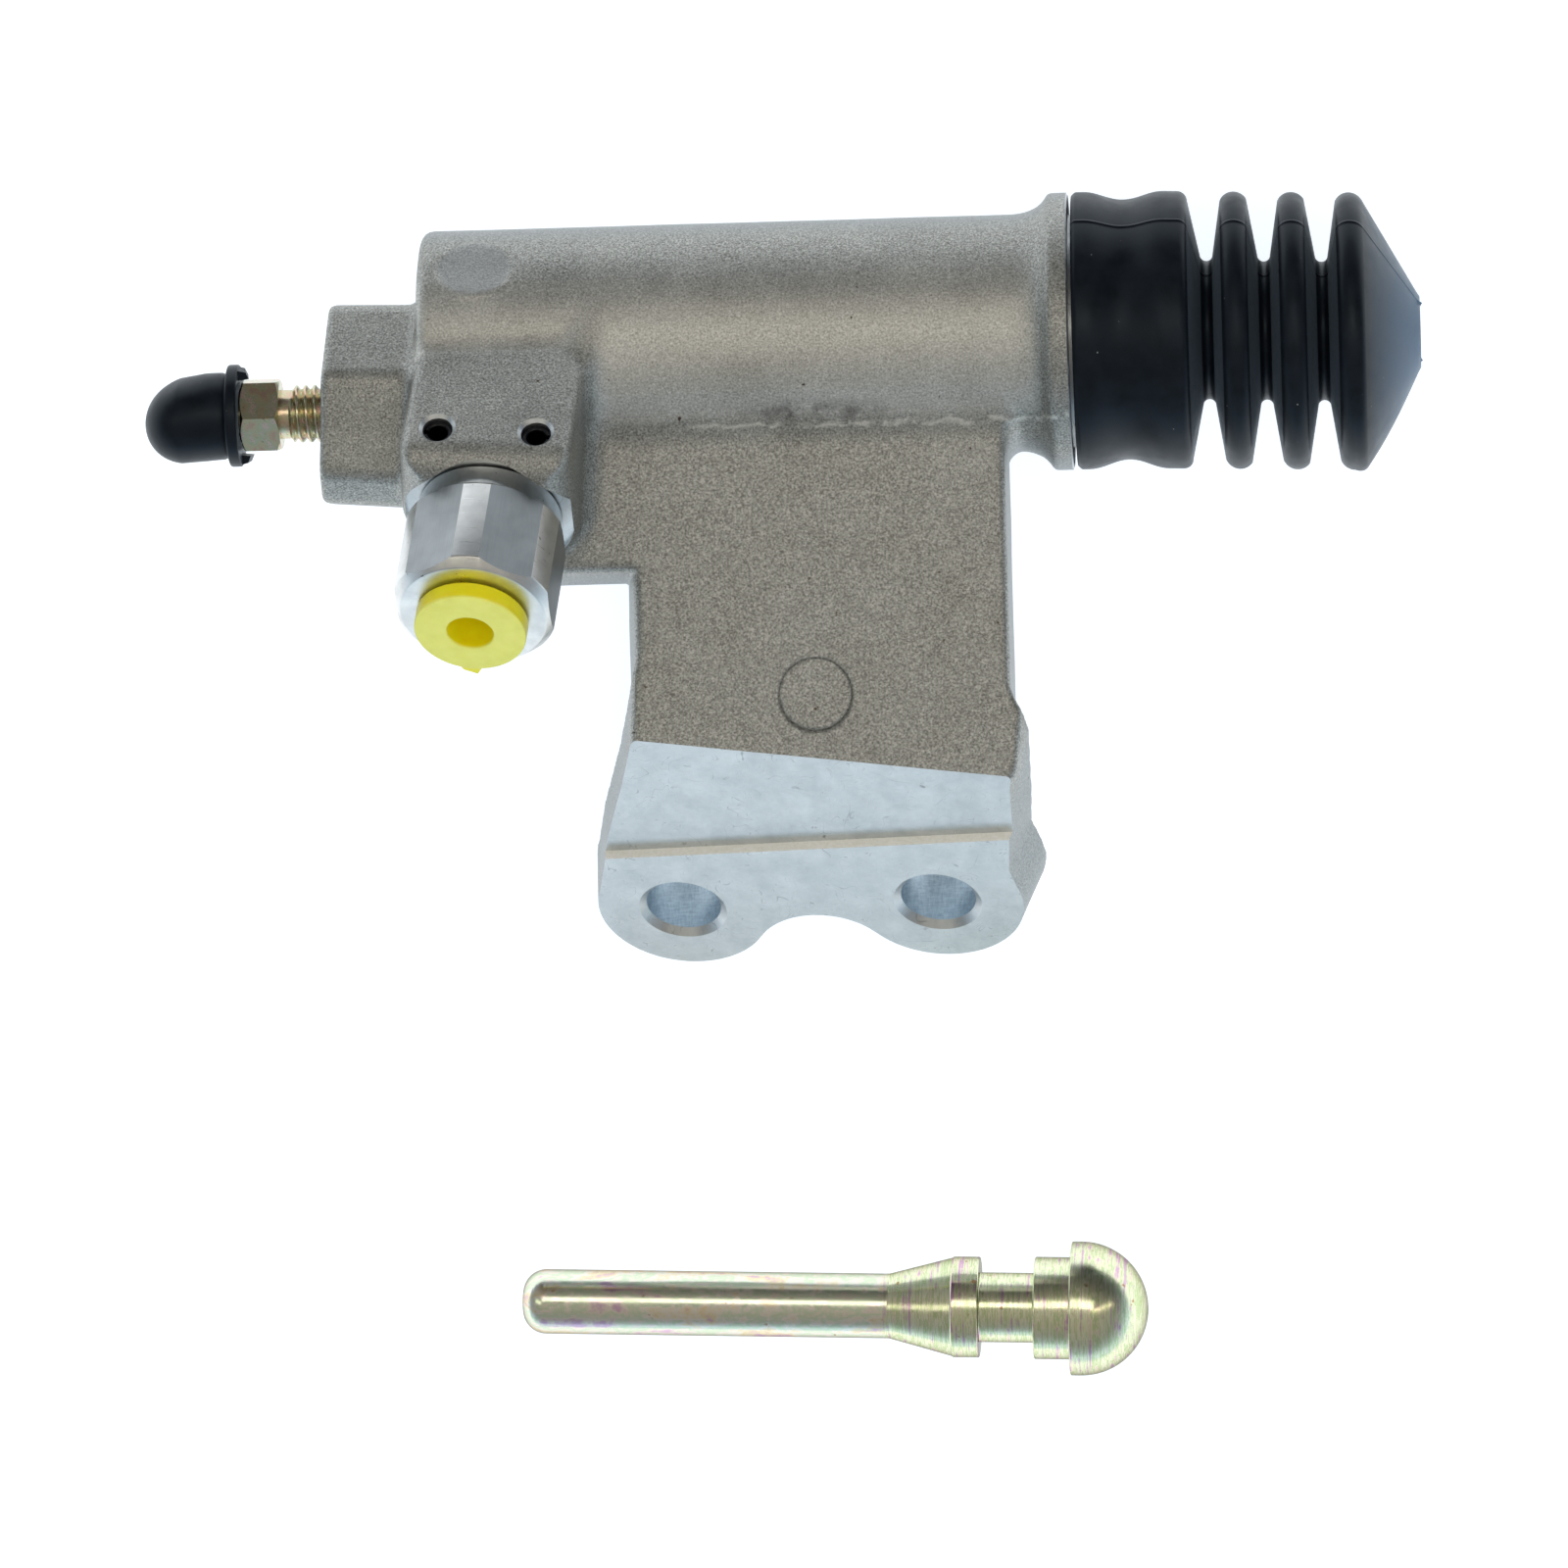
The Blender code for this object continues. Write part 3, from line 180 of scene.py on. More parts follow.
# Bleeder boss, screw and cap
BOSS_LENGTH = 12.8
BOSS_ROOT = 2.0
BOSS_TOP = 6.2
BOSS_BOTTOM = -21.1
BOSS_FRONT = 17.0
BOSS_BACK = -8.0
BOSS_DRAFT = 0.4
BOSS_LEAN = math.radians(3.0)
BOSS_CORNER = 3.4
BLEED_Y = -8.6
BLEED_Z = 5.5
BLEED_THREAD_R = 4.0
BLEED_PITCH = 1.25
BLEED_HOLE_DEPTH = 15.4
BLEED_SEAT_LENGTH = 2.6
BLEED_PASSAGE_R = 1.25
BLEED_NECK_R = 3.4
BLEED_THREAD_END = 5.5
BLEED_HEX_AT = 6.9
BLEED_HEX_END = BLEED_HEX_AT + 5.3
BLEED_HEX_FLATS = 9.4
BLEED_HEX_TURN = math.radians(22.0)
NIPPLE_R = 3.0
NIPPLE_BARB_R = 3.6
NIPPLE_END = 21.5
NIPPLE_BORE_R = 1.1
CAP_TIP = 25.8
CAP_R = 6.2
CAP_WAIST_R = 6.0
CAP_FLANGE_R = 7.05
CAP_MOUTH = BLEED_HEX_END + SEAT_GAP
CAP_FLANGE_END = CAP_MOUTH + 1.6
CAP_BORE_LENGTH = 10.3
CAP_DROOP = 0.9
CAP_DENT = 0.7
CAP_DENT_AT = (2.5, 5.6, 21.5)
CAP_DENT_R = 3.4
CAP_STUBS = (72.0, -98.0)

# Piston, cups and spring
PISTON_MOUTH_END = -3.0
PISTON_LENGTH = 27.5
PISTON_SOCKET_R = 5.3
PISTON_SOCKET_DEPTH = 14.5
PISTON_NOSE_R = 5.0
PISTON_NOSE_LENGTH = 4.5
CUP_GROOVE_R = 6.9
CUP_GROOVE_WIDTH = 5.0
CUP_HEAD_LAND = 2.8
CUP_SKIRT_LAND = 3.4
RUNNING_FIT = 0.035
SPRING_WIRE_R = 0.65
SPRING_R = 6.1
SPRING_TURNS = 8.0

# Dust boot
BOOT_START = 0.5
BOOT_BAND_END = 16.4
BOOT_BAND_R = 19.1
BOOT_WAIST_R = 17.9
BOOT_WALL = 1.5
BOOT_FIRST_CREST = 22.8
BOOT_CREST_PITCH = 7.9
BOOT_CRESTS = 3
BOOT_CREST_R = 19.1
BOOT_CREST_ROUND = 2.1
BOOT_NECK_R = 9.5
BOOT_NECK_ROUND = 0.9
BOOT_NOSE_END = 48.0
BOOT_NOSE_LENGTH = 6.6
BOOT_NOSE_R = 5.2
BOOT_HOLE_R = 3.8
BOOT_SEAM_AT = math.radians(131.3)
BOOT_SEAMS = (BOOT_SEAM_AT, BOOT_SEAM_AT + math.pi)
BOOT_SEAM_HEIGHT = 0.16
BOOT_SEAM_WIDTH = 0.22
BOOT_SAG = math.radians(2.1)
BOOT_SAG_FROM = 8.0
BOOT_NOSE_BULGE = 1.1

# Push rod
ROD_R = 4.6
ROD_TIP_ROUND = 3.3
ROD_SHAFT_LENGTH = 52.2
ROD_CONE_LENGTH = 9.0
ROD_COLLAR_R = 7.15
ROD_COLLAR_LENGTH = 3.9
ROD_GROOVE_R = 4.95
ROD_GROOVE_LENGTH = 7.8
ROD_SECOND_COLLAR_R = 7.25
ROD_SECOND_COLLAR_LENGTH = 5.2
ROD_HEAD_R = 9.5
ROD_HEAD_RIM = 1.4
ROD_HEADING = math.radians(-1.35)

# Roundings that the mould leaves
CAST_EDGE = 1.1
CAST_CORNER = 1.4
BARREL_FILLET = 2.6
LUG_FILLET = 2.2
BLOCK_FILLET = 0.9
BLOCK_FLANK_FILLET = 3.8
BLOCK_END_EDGE = 4.6
BOSS_FILLET = 1.6
BOSS_EDGE = 0.9
BLOCK_CORNER = 2.0
CAST_UNEVENNESS = 0.05
WAVES = 7
WAVE_LENGTH = 14.0
WAVE_SEED = 3
FLASH_Y = -12.3
FLASH_R = 0.42
FLASH_FILLET = 0.5
FLASH_SHADE_X = -35.0
FLASH_HALF_LENGTH = 27.0
FLASH_WAVES = ((0.16, 0.83, 0.0), (0.12, 2.9, 1.0), (0.07, 7.3, 2.0))

# Material slots of the casting
MILLED, BORED, STEPPED = 1, 2, 3

# Fineness
CAST_STEP = 0.6
CAST_BOX_LOW = (BARREL_END - BOSS_LENGTH - 2.0, -84.0 - LOBE_R, -BARREL_R - 16.0)
CAST_BOX_HIGH = (SPIGOT_LENGTH + 3.0, FLANGE_R + 2.0, 34.0)
HALF_DIAGONAL = 0.87
DISTANCE_SLACK = 1.6
AT_ONCE = 150000
SILHOUETTE_STEPS = 48
NEARLY_STRAIGHT = -0.985
PIN_FACETS = 48
THREAD_FACETS = 72
FINE_FACETS = 96
ROUND_FACETS = 160
PIECE_SMOOTH_ANGLE = math.radians(40.0)
SLOT_BEND = 0.985

# Camera
LENS = 211.5
CAMERA_DISTANCE = 1270.0
CAMERA_ROLL = math.radians(1.5)
CAMERA_YAW = -0.057
AIM_LEFT = 39.59
AIM_UP = 62.43

# The mesh attribute that holds each piece's coordinates in its own frame
OWN_FRAME = "own_frame"

# Where the barrel's skin ends and the web's begins, in metres as the materials measure
WEB_START = -12.2 * MM

# Light: the tent's colour at each angle from overhead
FLOOR_GLOW = (0.80, 0.86, 0.92)
TENT = (
    (14.0, (0.36, 0.34, 0.31)),
    (35.0, (0.30, 0.285, 0.26)),
    (66.0, (0.25, 0.265, 0.28)),
    (82.0, (0.37, 0.47, 0.56)),
    (90.0, (0.70, 0.90, 1.05)),
)
DARK_SIDE = (0.42, 0.90, 0.14)

# Lamps: name, spot, size, radiance and colour, and whether metal mirrors the lamp; then where they all face
LAMPS = (
    ("overhead_box", (0.1, 0.16, 1.6), (1.1, 0.42), 1.6, (1.0, 0.95, 0.84), True),
    ("right_strip", (1.05, -0.05, 1.3), (0.16, 1.2), 1.3, (1.0, 0.86, 0.70), True),
    ("left_strip", (-0.95, -0.1, 1.4), (0.34, 0.9), 0.9, (1.0, 0.98, 0.80), True),
    ("front_fill", (0.1, -1.2, 0.9), (1.4, 1.0), 2.1, (0.93, 0.97, 1.0), False),
    ("upper_fill", (0.0, 1.0, 1.3), (1.4, 0.8), 2.5, (1.0, 0.98, 0.93), False),
)
LAMPS_FACE = (-0.02, -0.03, 0.0)

# Tones of the cast skin, from its grain's dark to its pale, and the paler ones painted as a highlight on the
# barrel's front
CAST_STOPS = (0.34, 0.46, 0.55, 0.66)
CAST_TONES = ((0.175, 0.175, 0.16), (0.325, 0.328, 0.307), (0.44, 0.443, 0.422), (0.64, 0.645, 0.615))
BARREL_HIGHLIGHT_TONES = ((0.36, 0.355, 0.325), (0.54, 0.535, 0.50), (0.64, 0.635, 0.60), (0.80, 0.795, 0.76))

# Tones of the zinc's film: along the rod's shaft, round its turned head, and on the bleed screw
FILM_TONES = (
    (0.0, (0.80, 0.56, 0.70)),
    (0.22, (0.94, 0.86, 0.74)),
    (0.42, (0.74, 0.84, 0.62)),
    (0.58, (0.94, 0.88, 0.78)),
    (0.78, (0.92, 0.80, 0.54)),
    (1.0, (0.78, 0.52, 0.68)),
)
RINGED_TONES = (
    (0.0, (0.72, 0.46, 0.62)),
    (0.25, (0.96, 0.90, 0.66)),
    (0.45, (0.62, 0.74, 0.40)),
    (0.62, (0.97, 0.93, 0.72)),
    (0.80, (0.76, 0.84, 0.52)),
    (1.0, (0.74, 0.50, 0.64)),
)
GOLD_TONES = (
    (0.36, (0.66, 0.47, 0.36)),
    (0.45, (0.66, 0.58, 0.38)),
    (0.53, (0.56, 0.58, 0.40)),
    (0.62, (0.74, 0.58, 0.50)),
)

# Colour sockets of a Mix node
MIX_FIRST, MIX_SECOND, MIX_RESULT = 6, 7, 2

# Finishes of the casting, in the order of its material slots
CASTING_FINISHES = ("cast", "machined", "bored", "step_highlight")

# Pieces: frame, carrying body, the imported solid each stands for, slot, and its finishes
PIECES = {
    "cylinder_casting": ("cylinder", "casting", "cylinder_body", "cast_aluminium", *CASTING_FINISHES),
    "bellows_boot": ("bore", "casting", "dust_boot", "black_rubber", "rubber"),
    "turned_piston": ("bore", "piston_set", "piston", "anodised_aluminium", "anodised"),
    "head_cup": ("bore", "piston_set", "primary_cup", "black_rubber", "rubber"),
    "skirt_cup": ("bore", "piston_set", "secondary_cup", "black_rubber", "rubber"),
    "coil_spring": ("bore", "casting", "return_spring", "spring_steel", "spring"),
    "hex_fitting": ("inlet", "hose_end", "hose_joint", "turned_aluminium", "milled", "turned"),
    "seal_ring": ("inlet", "hose_end", "joint_o_ring", "black_rubber", "rubber"),
    "slotted_pin_left": ("pin_left", "casting", "roll_pin_left", "black_spring_steel", "black_steel"),
    "slotted_pin_right": ("pin_right", "casting", "roll_pin_right", "black_spring_steel", "black_steel"),
    "yellow_plug": ("inlet", "plug", "transit_plug", "yellow_plastic", "plastic"),
    "threaded_screw": ("bleed", "bleeder", "bleed_screw", "yellow_zinc", "gold"),
    "nipple_cap": ("bleed", "bleeder_cap", "bleed_cap", "black_rubber", "rubber"),
    "polished_rod": ("rod", "casting", "push_rod", "yellow_zinc", "zinc"),
}


# Frames


def rotation(axis, angle):
    return Matrix.Rotation(angle, 4, axis)


def shift(x, y, z):
    return Matrix.Translation((x, y, z))


def places():
    """Each local frame in the cylinder's frame, in millimetres."""
    tilted = rotation("X", MACHINED_TILT) @ rotation("Y", -MACHINED_LEAN)
    inlet = shift(INLET_X, 0.0, 0.0) @ tilted
    boss = shift(BARREL_END - BOSS_LENGTH, 0.0, 0.0) @ rotation("Y", -math.pi / 2.0)
    upright = rotation("X", -math.pi / 2.0)
    return {
        "cylinder": STILL,
        "bore": rotation("Y", math.pi / 2.0),
        "pad": tilted @ shift(PAD_X, PAD_Y, PAD_DISTANCE) @ rotation("Z", PAD_TURN),
        "inlet": inlet,
        "pin_left": inlet @ shift(-PIN_OFFSET, 0.0, PIN_AT) @ upright @ rotation("Z", math.pi),
        "pin_right": inlet @ shift(PIN_OFFSET, 0.0, PIN_AT) @ upright,
        "boss": boss @ rotation("X", -BOSS_LEAN),
        "bleed": boss @ shift(BLEED_Z, BLEED_Y, 0.0),
        "ejector": shift(EJECTOR_X, 0.0, 0.0) @ rotation("X", -EJECTOR_TURN),
    }


PLACES = places()


def joint_named(name):
    return next(joint for joint in FRAME["joints"] if joint["name"] == name)


def cylinder_in_world():
    """The cylinder's frame in the world, from the piston's axis and the fitting's."""
    along = Vector(joint_named("piston_slide")["axis"]).normalized()
    swivel = joint_named("joint_swivel")
    outward = Vector(swivel["axis"]).normalized()
    first = (outward - outward.dot(along) * along).normalized()
    second = along.cross(first)
    sine, cosine = math.sin(MACHINED_TILT), math.cos(MACHINED_TILT)
    upward = -sine * first - cosine * second
    forward = cosine * first - sine * second
    placed = Matrix((along, upward, forward)).transposed().to_4x4()
    placed.translation = Vector(swivel["pos_m"]) - along * INLET_X * MM
    return placed


def rod_in_world():
    """The rod lies on the floor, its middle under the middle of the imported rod's box."""
    low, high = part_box("push_rod")
    ball_at = rod_profile()[-1][0] - ROD_HEAD_R
    rise = math.asin((ROD_HEAD_R - ROD_R) / (ball_at - ROD_TIP_ROUND))
    lying = rotation("Z", ROD_HEADING) @ rotation("Y", math.pi / 2.0 - rise)
    corners = [lying @ Vector(c) for c in rod_silhouette()]
    middle = (low + high) / 2.0
    for i in (0, 1):
        reach = [corner[i] for corner in corners]
        middle[i] -= (min(reach) + max(reach)) / 2.0 * MM
    placed = Matrix.Translation((middle.x, middle.y, 0.0)) @ lying
    lowest = min((placed @ (Vector(c) * MM)).z for c in rod_silhouette())
    placed.translation.z -= lowest
    return placed


def rod_silhouette():
    """Points all round the rod's tip rounding, rims and ball, for finding what it touches."""
    points = []
    for i in range(SILHOUETTE_STEPS):
        angle = 2.0 * math.pi * i / SILHOUETTE_STEPS
        for z, radius in rod_profile():
            points.append((radius * math.cos(angle), radius * math.sin(angle), z))
    return points


# Outlines


def arc(centre, radius, start, end, steps):
    angles = [math.radians(start + (end - start) * i / steps) for i in range(steps + 1)]
    return [(centre[0] + radius * math.cos(a), centre[1] + radius * math.sin(a)) for a in angles]


def anticlockwise(points):
    doubled_area = sum(a[0] * b[1] - b[0] * a[1] for a, b in zip(points, points[1:] + points[:1]))
    return list(points) if doubled_area > 0.0 else list(reversed(points))


def inset(points, distance):
    """The outline moved inward by a distance, each corner along its mitre."""
    ring = anticlockwise(points)
    moved = []
    for before, here, after in zip(ring[-1:] + ring[:-1], ring, ring[1:] + ring[:1]):
        first = (Vector(here) - Vector(before)).normalized()
        second = (Vector(after) - Vector(here)).normalized()
        out_first = Vector((first.y, -first.x))
        out_second = Vector((second.y, -second.x))
        mitre = (out_first + out_second).normalized()
        moved.append(Vector(here) - mitre * distance / mitre.dot(out_first))
    return [tuple(point) for point in moved]


def eased(profile, radius, steps=3, closed=True):
    """A profile with each corner rounded off by up to a radius."""
    points = [Vector(point) for point in profile]
    count = len(points)
    made = []
    for i, here in enumerate(points):
        at_end = not closed and i in (0, count - 1)
        on_axis = here.y < 1e-6
        if at_end or on_axis:
            made.append(tuple(here))
            continue
        back = points[i - 1] - here
        ahead = points[(i + 1) % count] - here
        reach = min(radius, back.length * 0.4, ahead.length * 0.4)
        start = here + back.normalized() * reach
        end = here + ahead.normalized() * reach
        if back.normalized().dot(ahead.normalized()) < NEARLY_STRAIGHT:
            made.append(tuple(here))
            continue
        for k in range(steps + 1):
            t = k / steps
            made.append(tuple(start * (1 - t) ** 2 + here * 2 * t * (1 - t) + end * t**2))
    return made


def hexagon(flats, turn=0.0):
    first = 90.0 + math.degrees(turn)
    return arc((0.0, 0.0), flats / math.sqrt(3.0), first, first + 300.0, 5)


# Distances to the cast forms, negative inside


def local(points, name):
    placed = np.array(PLACES[name], dtype=np.float32)
    return ((points - placed[:3, 3]) @ placed[:3, :3]).T


def outline_distance(u, v, outline, corner):
    """Signed distance to an outline whose outer corners are rounded."""
    ring = inset(outline, corner)
    nearest = np.full(u.shape, 1e9, dtype=np.float32)
    within = np.zeros(u.shape, dtype=bool)
    for (x0, y0), (x1, y1) in zip(ring, ring[1:] + ring[:1]):
        run, rise = x1 - x0, y1 - y0
        du, dv = u - x0, v - y0
        t = np.clip((du * run + dv * rise) / (run * run + rise * rise), 0.0, 1.0)
        nearest = np.minimum(nearest, (du - t * run) ** 2 + (dv - t * rise) ** 2)
        if abs(rise) > 1e-9:
            within ^= ((y0 > v) != (y1 > v)) & (du < run * dv / rise)
    return np.where(within, -1.0, 1.0) * np.sqrt(nearest) - corner


def joined(first, second, fillet):
    """Union with a round fillet in the corner between the two."""
    near = np.hypot(np.maximum(fillet - first, 0.0), np.maximum(fillet - second, 0.0))
    return np.maximum(fillet, np.minimum(first, second)) - near


def common(first, second, edge):
    """Intersection with a round edge."""
    near = np.hypot(np.maximum(edge + first, 0.0), np.maximum(edge + second, 0.0))
    return np.minimum(-edge, np.maximum(first, second)) + near


def web_outline():
    inside_barrel = -6.0
    return [
        (SHELF_LEFT, inside_barrel),
        (SHELF_LEFT, SHELF_BOTTOM),
        (WEB_LEFT, SHELF_BOTTOM),
        (WEB_LEFT, WEB_BOTTOM),
        (WEB_RIGHT, WEB_BOTTOM),
        (WEB_RIGHT, inside_barrel),
    ]


def lug_outline():
    half = BOLT_SPACING / 2.0
    touch = math.degrees(math.atan2(NOTCH_DROP, half))
    left = arc((-half, 0.0), LOBE_R, 155.0, 360.0 - touch, 26)
    notch = arc((0.0, -NOTCH_DROP), NOTCH_R, 180.0 - touch, touch, 14)
    right = arc((half, 0.0), LOBE_R, 180.0 + touch, 373.0, 26)
    sides = [
        (half + LOBE_R - 0.8, RISER_AT * 0.5),
        (half + LOBE_R + 0.3, RISER_AT),
        (half + LOBE_R + 2.0, LUG_TOP * 0.6),
        (half + LOBE_R + 1.0, LUG_TOP),
        (-half + 3.6, LUG_TOP),
        (-half + 0.6, LUG_TOP * 0.82),
        (-half - 8.2, RISER_AT),
    ]
    return left + notch[1:-1] + right + sides


def block_outline():
    lower = arc((0.0, 0.0), BLOCK_FACE, 187.0, 338.0, 22)
    return [(-BLOCK_HALF_WIDTH, BLOCK_FACE)] + lower + [(BLOCK_HALF_WIDTH, BLOCK_FACE)]


def boss_outline():
    return [
        (BOSS_FRONT - 8.0, BOSS_TOP),
        (BOSS_FRONT, BOSS_TOP - 10.0),
        (BOSS_FRONT - 1.6, BOSS_BOTTOM + 3.5),
        (BOSS_FRONT - 6.0, BOSS_BOTTOM),
        (BOSS_BACK + 12.0, BOSS_BOTTOM),
        (BOSS_BACK + 4.0, BOSS_BOTTOM + 5.0),
        (BOSS_BACK, BOSS_TOP - 13.0),
        (BOSS_BACK + 4.0, BOSS_TOP - 3.0),
        (BOSS_BACK + 9.0, BOSS_TOP),
    ]


def barrel_outline():
    """The barrel's half section with stock left for the turned spigot, closed below the axis."""
    end_centre = (BARREL_END + BARREL_END_ROUND, BARREL_R - BARREL_END_ROUND)
    flare_start = -FLANGE_RIM - FLANGE_SHOULDER - FLARE_LENGTH
    foot_r = FLANGE_R - FLANGE_SHOULDER
    flare = []
    for i in range(9):
        a = math.radians(72.0 * i / 8)
        along = flare_start + FLARE_LENGTH * math.sin(a)
        flare.append((along, BARREL_R + (foot_r - BARREL_R) * (1.0 - math.cos(a)) * 1.4))
    flare += arc((-FLANGE_RIM, foot_r), FLANGE_SHOULDER, 165.0, 90.0, 5)
    stock = 1.2
    spigot = [
        (stock, FLANGE_R),
        (stock, SPIGOT_R + stock),
        (SPIGOT_LENGTH + stock, SPIGOT_R + stock),
        (SPIGOT_LENGTH + stock, -BARREL_R),
    ]
    return [(BARREL_END, -BARREL_R)] + arc(end_centre, BARREL_END_ROUND, 180.0, 90.0, 5) + flare + spigot


def web_distance(points):
    x, y, z = points.T
    widest = np.interp(x, (WEB_LEFT, WEB_RIGHT), (WEB_DRAFT_LEFT, WEB_DRAFT_RIGHT))
    draft = widest * (1.0 - np.clip(np.abs(z) / WEB_FRONT, 0.0, 1.0))
    side = outline_distance(x, y, WEB_RING, CAST_CORNER) - draft
    return common(side, np.maximum(-WEB_FRONT - z, z - WEB_FRONT - 4.0), CAST_EDGE)


def lug_distance(points):
    u, v, w = local(points, "pad")
    half = BOLT_SPACING / 2.0
    levels = (-LUG_THICKNESS, -LUG_PARTING, 1.0)
    bulge = np.interp(w, levels, (0.0, LUG_BULGE, 0.0)).astype(np.float32)
    draft = np.interp(w, levels, (-LUG_DRAFT / 2.0, LUG_DRAFT, 0.0)).astype(np.float32)
    pulled = np.where(u > half, half + (u - half) / (1.0 + bulge / LOBE_R), u)
    side = outline_distance(pulled, v, LUG_RING, CAST_EDGE) - draft
    return common(side, np.maximum(-LUG_THICKNESS - w, w - 4.0), CAST_EDGE)


def barrel_distance(points):
    x, y, z = points.T
    return outline_distance(x, np.hypot(y, z), BARREL_RING, 0.0)


def block_distance(points):
    u, v, w = local(points, "inlet")
    side = outline_distance(u, v, BLOCK_RING, BLOCK_CORNER)
    return np.maximum(common(side, w - BLOCK_LENGTH, BLOCK_END_EDGE), 1.0 - w)


def boss_distance(points):
    u, v, w = local(points, "boss")
    root = BOSS_LENGTH + BOSS_ROOT
    draft = BOSS_DRAFT * np.clip(-w / root, 0.0, 1.0)
    side = outline_distance(u, v, BOSS_RING, BOSS_CORNER) - draft
    return np.maximum(common(side, w, BOSS_EDGE), -root - w)


def ejector_disc(points):
    u, v, w = local(points, "ejector")
    return np.hypot(u, v) - EJECTOR_R, w - EJECTOR_FLAT_AT, BORE_R + 2.0 - w


def flash_distance(points):
    """The uneven line of flash where the mould's parts met, along the foot of the barrel."""
    x, y, z = points.T
    torn = sum(height * np.sin(x * rate + phase) for height, rate, phase in FLASH_WAVES)
    bead = np.hypot(y - FLASH_Y - 0.6 * torn, z - WEB_FRONT + 0.15) - (FLASH_R + torn)
    return np.maximum(bead, np.abs(x - (WEB_LEFT + WEB_RIGHT) / 2.0) - FLASH_HALF_LENGTH)


def unevenness(points, size, seed):
    """A few crossing waves, as a mould's hand-finished faces have."""
    rng = np.random.default_rng(seed)
    total = np.zeros(len(points), dtype=np.float32)
    for _ in range(WAVES):
        direction = rng.normal(size=3)
        direction /= np.linalg.norm(direction)
        wave = size * rng.uniform(0.6, 1.6)
        total += np.sin(points @ (direction * 2.0 * math.pi / wave) + rng.uniform(0.0, 6.3))
    return total / WAVES


def casting_distance(points):
    lugged = joined(web_distance(points), lug_distance(points), LUG_FILLET)
    cast = common(lugged, points[:, 2] - WEB_FRONT, CAST_EDGE)
    cast = joined(cast, barrel_distance(points), BARREL_FILLET)
    across = local(points, "inlet")[0]
    flank = (BLOCK_HALF_WIDTH - 3.5, BLOCK_HALF_WIDTH + 0.5)
    fillet = np.interp(across, flank, (BLOCK_FILLET, BLOCK_FLANK_FILLET))
    cast = joined(cast, block_distance(points), fillet)
    cast = joined(cast, boss_distance(points), BOSS_FILLET)
    cast = joined(cast, flash_distance(points), FLASH_FILLET)
    side, top, bottom = ejector_disc(points)
    cast = joined(cast, common(side, np.maximum(top, bottom), EJECTOR_EDGE), EJECTOR_FILLET)
    cast = common(cast, -common(side, -top, EJECTOR_STEP_EDGE), EJECTOR_RIM_EDGE)
    return cast + CAST_UNEVENNESS * unevenness(points, WAVE_LENGTH, WAVE_SEED)


WEB_RING = web_outline()
LUG_RING = lug_outline()
BARREL_RING = barrel_outline()
BLOCK_RING = block_outline()
BOSS_RING = boss_outline()


# Meshing of a distance field


def in_blocks(distance, points):
    parts = [distance(part) for part in np.array_split(points, max(1, len(points) // AT_ONCE))]
    return np.concatenate(parts).astype(np.float32)


def sampled(distance, low, counts, step):
    """Grid values, worked out only in the blocks that the surface can pass through."""
    block = 4
    blocks = [count // block for count in counts]
    corners = np.stack(np.meshgrid(*[np.arange(n) for n in blocks], indexing="ij"), -1).reshape(-1, 3)
    centres = low + (corners * block + (block - 1) / 2.0) * step
    rough = in_blocks(distance, centres.astype(np.float32))
    near = np.abs(rough) < block * step * HALF_DIAGONAL + DISTANCE_SLACK
    values = np.repeat(rough.reshape(blocks), block, 0)
    values = np.repeat(np.repeat(values, block, 1), block, 2)
    inner = np.stack(np.meshgrid(*[np.arange(block)] * 3, indexing="ij"), -1).reshape(-1, 3)
    nodes = (corners[near][:, None, :] * block + inner[None]).reshape(-1, 3)
    fine = in_blocks(distance, (low + nodes * step).astype(np.float32))
    values[nodes[:, 0], nodes[:, 1], nodes[:, 2]] = fine
    return values


def crossing_points(values, cells):
    """The mean of the places where a cell's edges cross the surface, in grid units."""
    offsets = np.array(list(itertools.product((0, 1), repeat=3)))
    at = cells[:, None, :] + offsets[None]
    corner_values = values[at[..., 0], at[..., 1], at[..., 2]]
    total = np.zeros((len(cells), 3))
    hits = np.zeros(len(cells))
    for a, b in itertools.combinations(range(8), 2):
        if np.abs(offsets[a] - offsets[b]).sum() != 1:
            continue
        first, second = corner_values[:, a], corner_values[:, b]
        crosses = (first < 0.0) != (second < 0.0)
        share = np.where(crosses, first / np.where(crosses, first - second, 1.0), 0.0)
        place = offsets[a] + share[:, None] * (offsets[b] - offsets[a])
        total += np.where(crosses[:, None], place, 0.0)
        hits += crosses
    return cells + total / hits[:, None]


def onto_surface(distance, points, rounds=2):
    """Each point moved along the slope until its distance is zero."""
    probe = 0.08
    corners = np.array([(1, 1, 1), (1, -1, -1), (-1, 1, -1), (-1, -1, 1)], dtype=np.float32)
    for _ in range(rounds):
        readings = [in_blocks(distance, (points + corner * probe).astype(np.float32)) for corner in corners]
        slope = sum(reading[:, None] * corner for reading, corner in zip(readings, corners)) / (4.0 * probe)
        here = sum(readings) / 4.0
        steepness = np.maximum((slope**2).sum(1), 0.25)
        move = np.clip(here / steepness, -0.3, 0.3)
        points = points - move[:, None] * slope
    return points


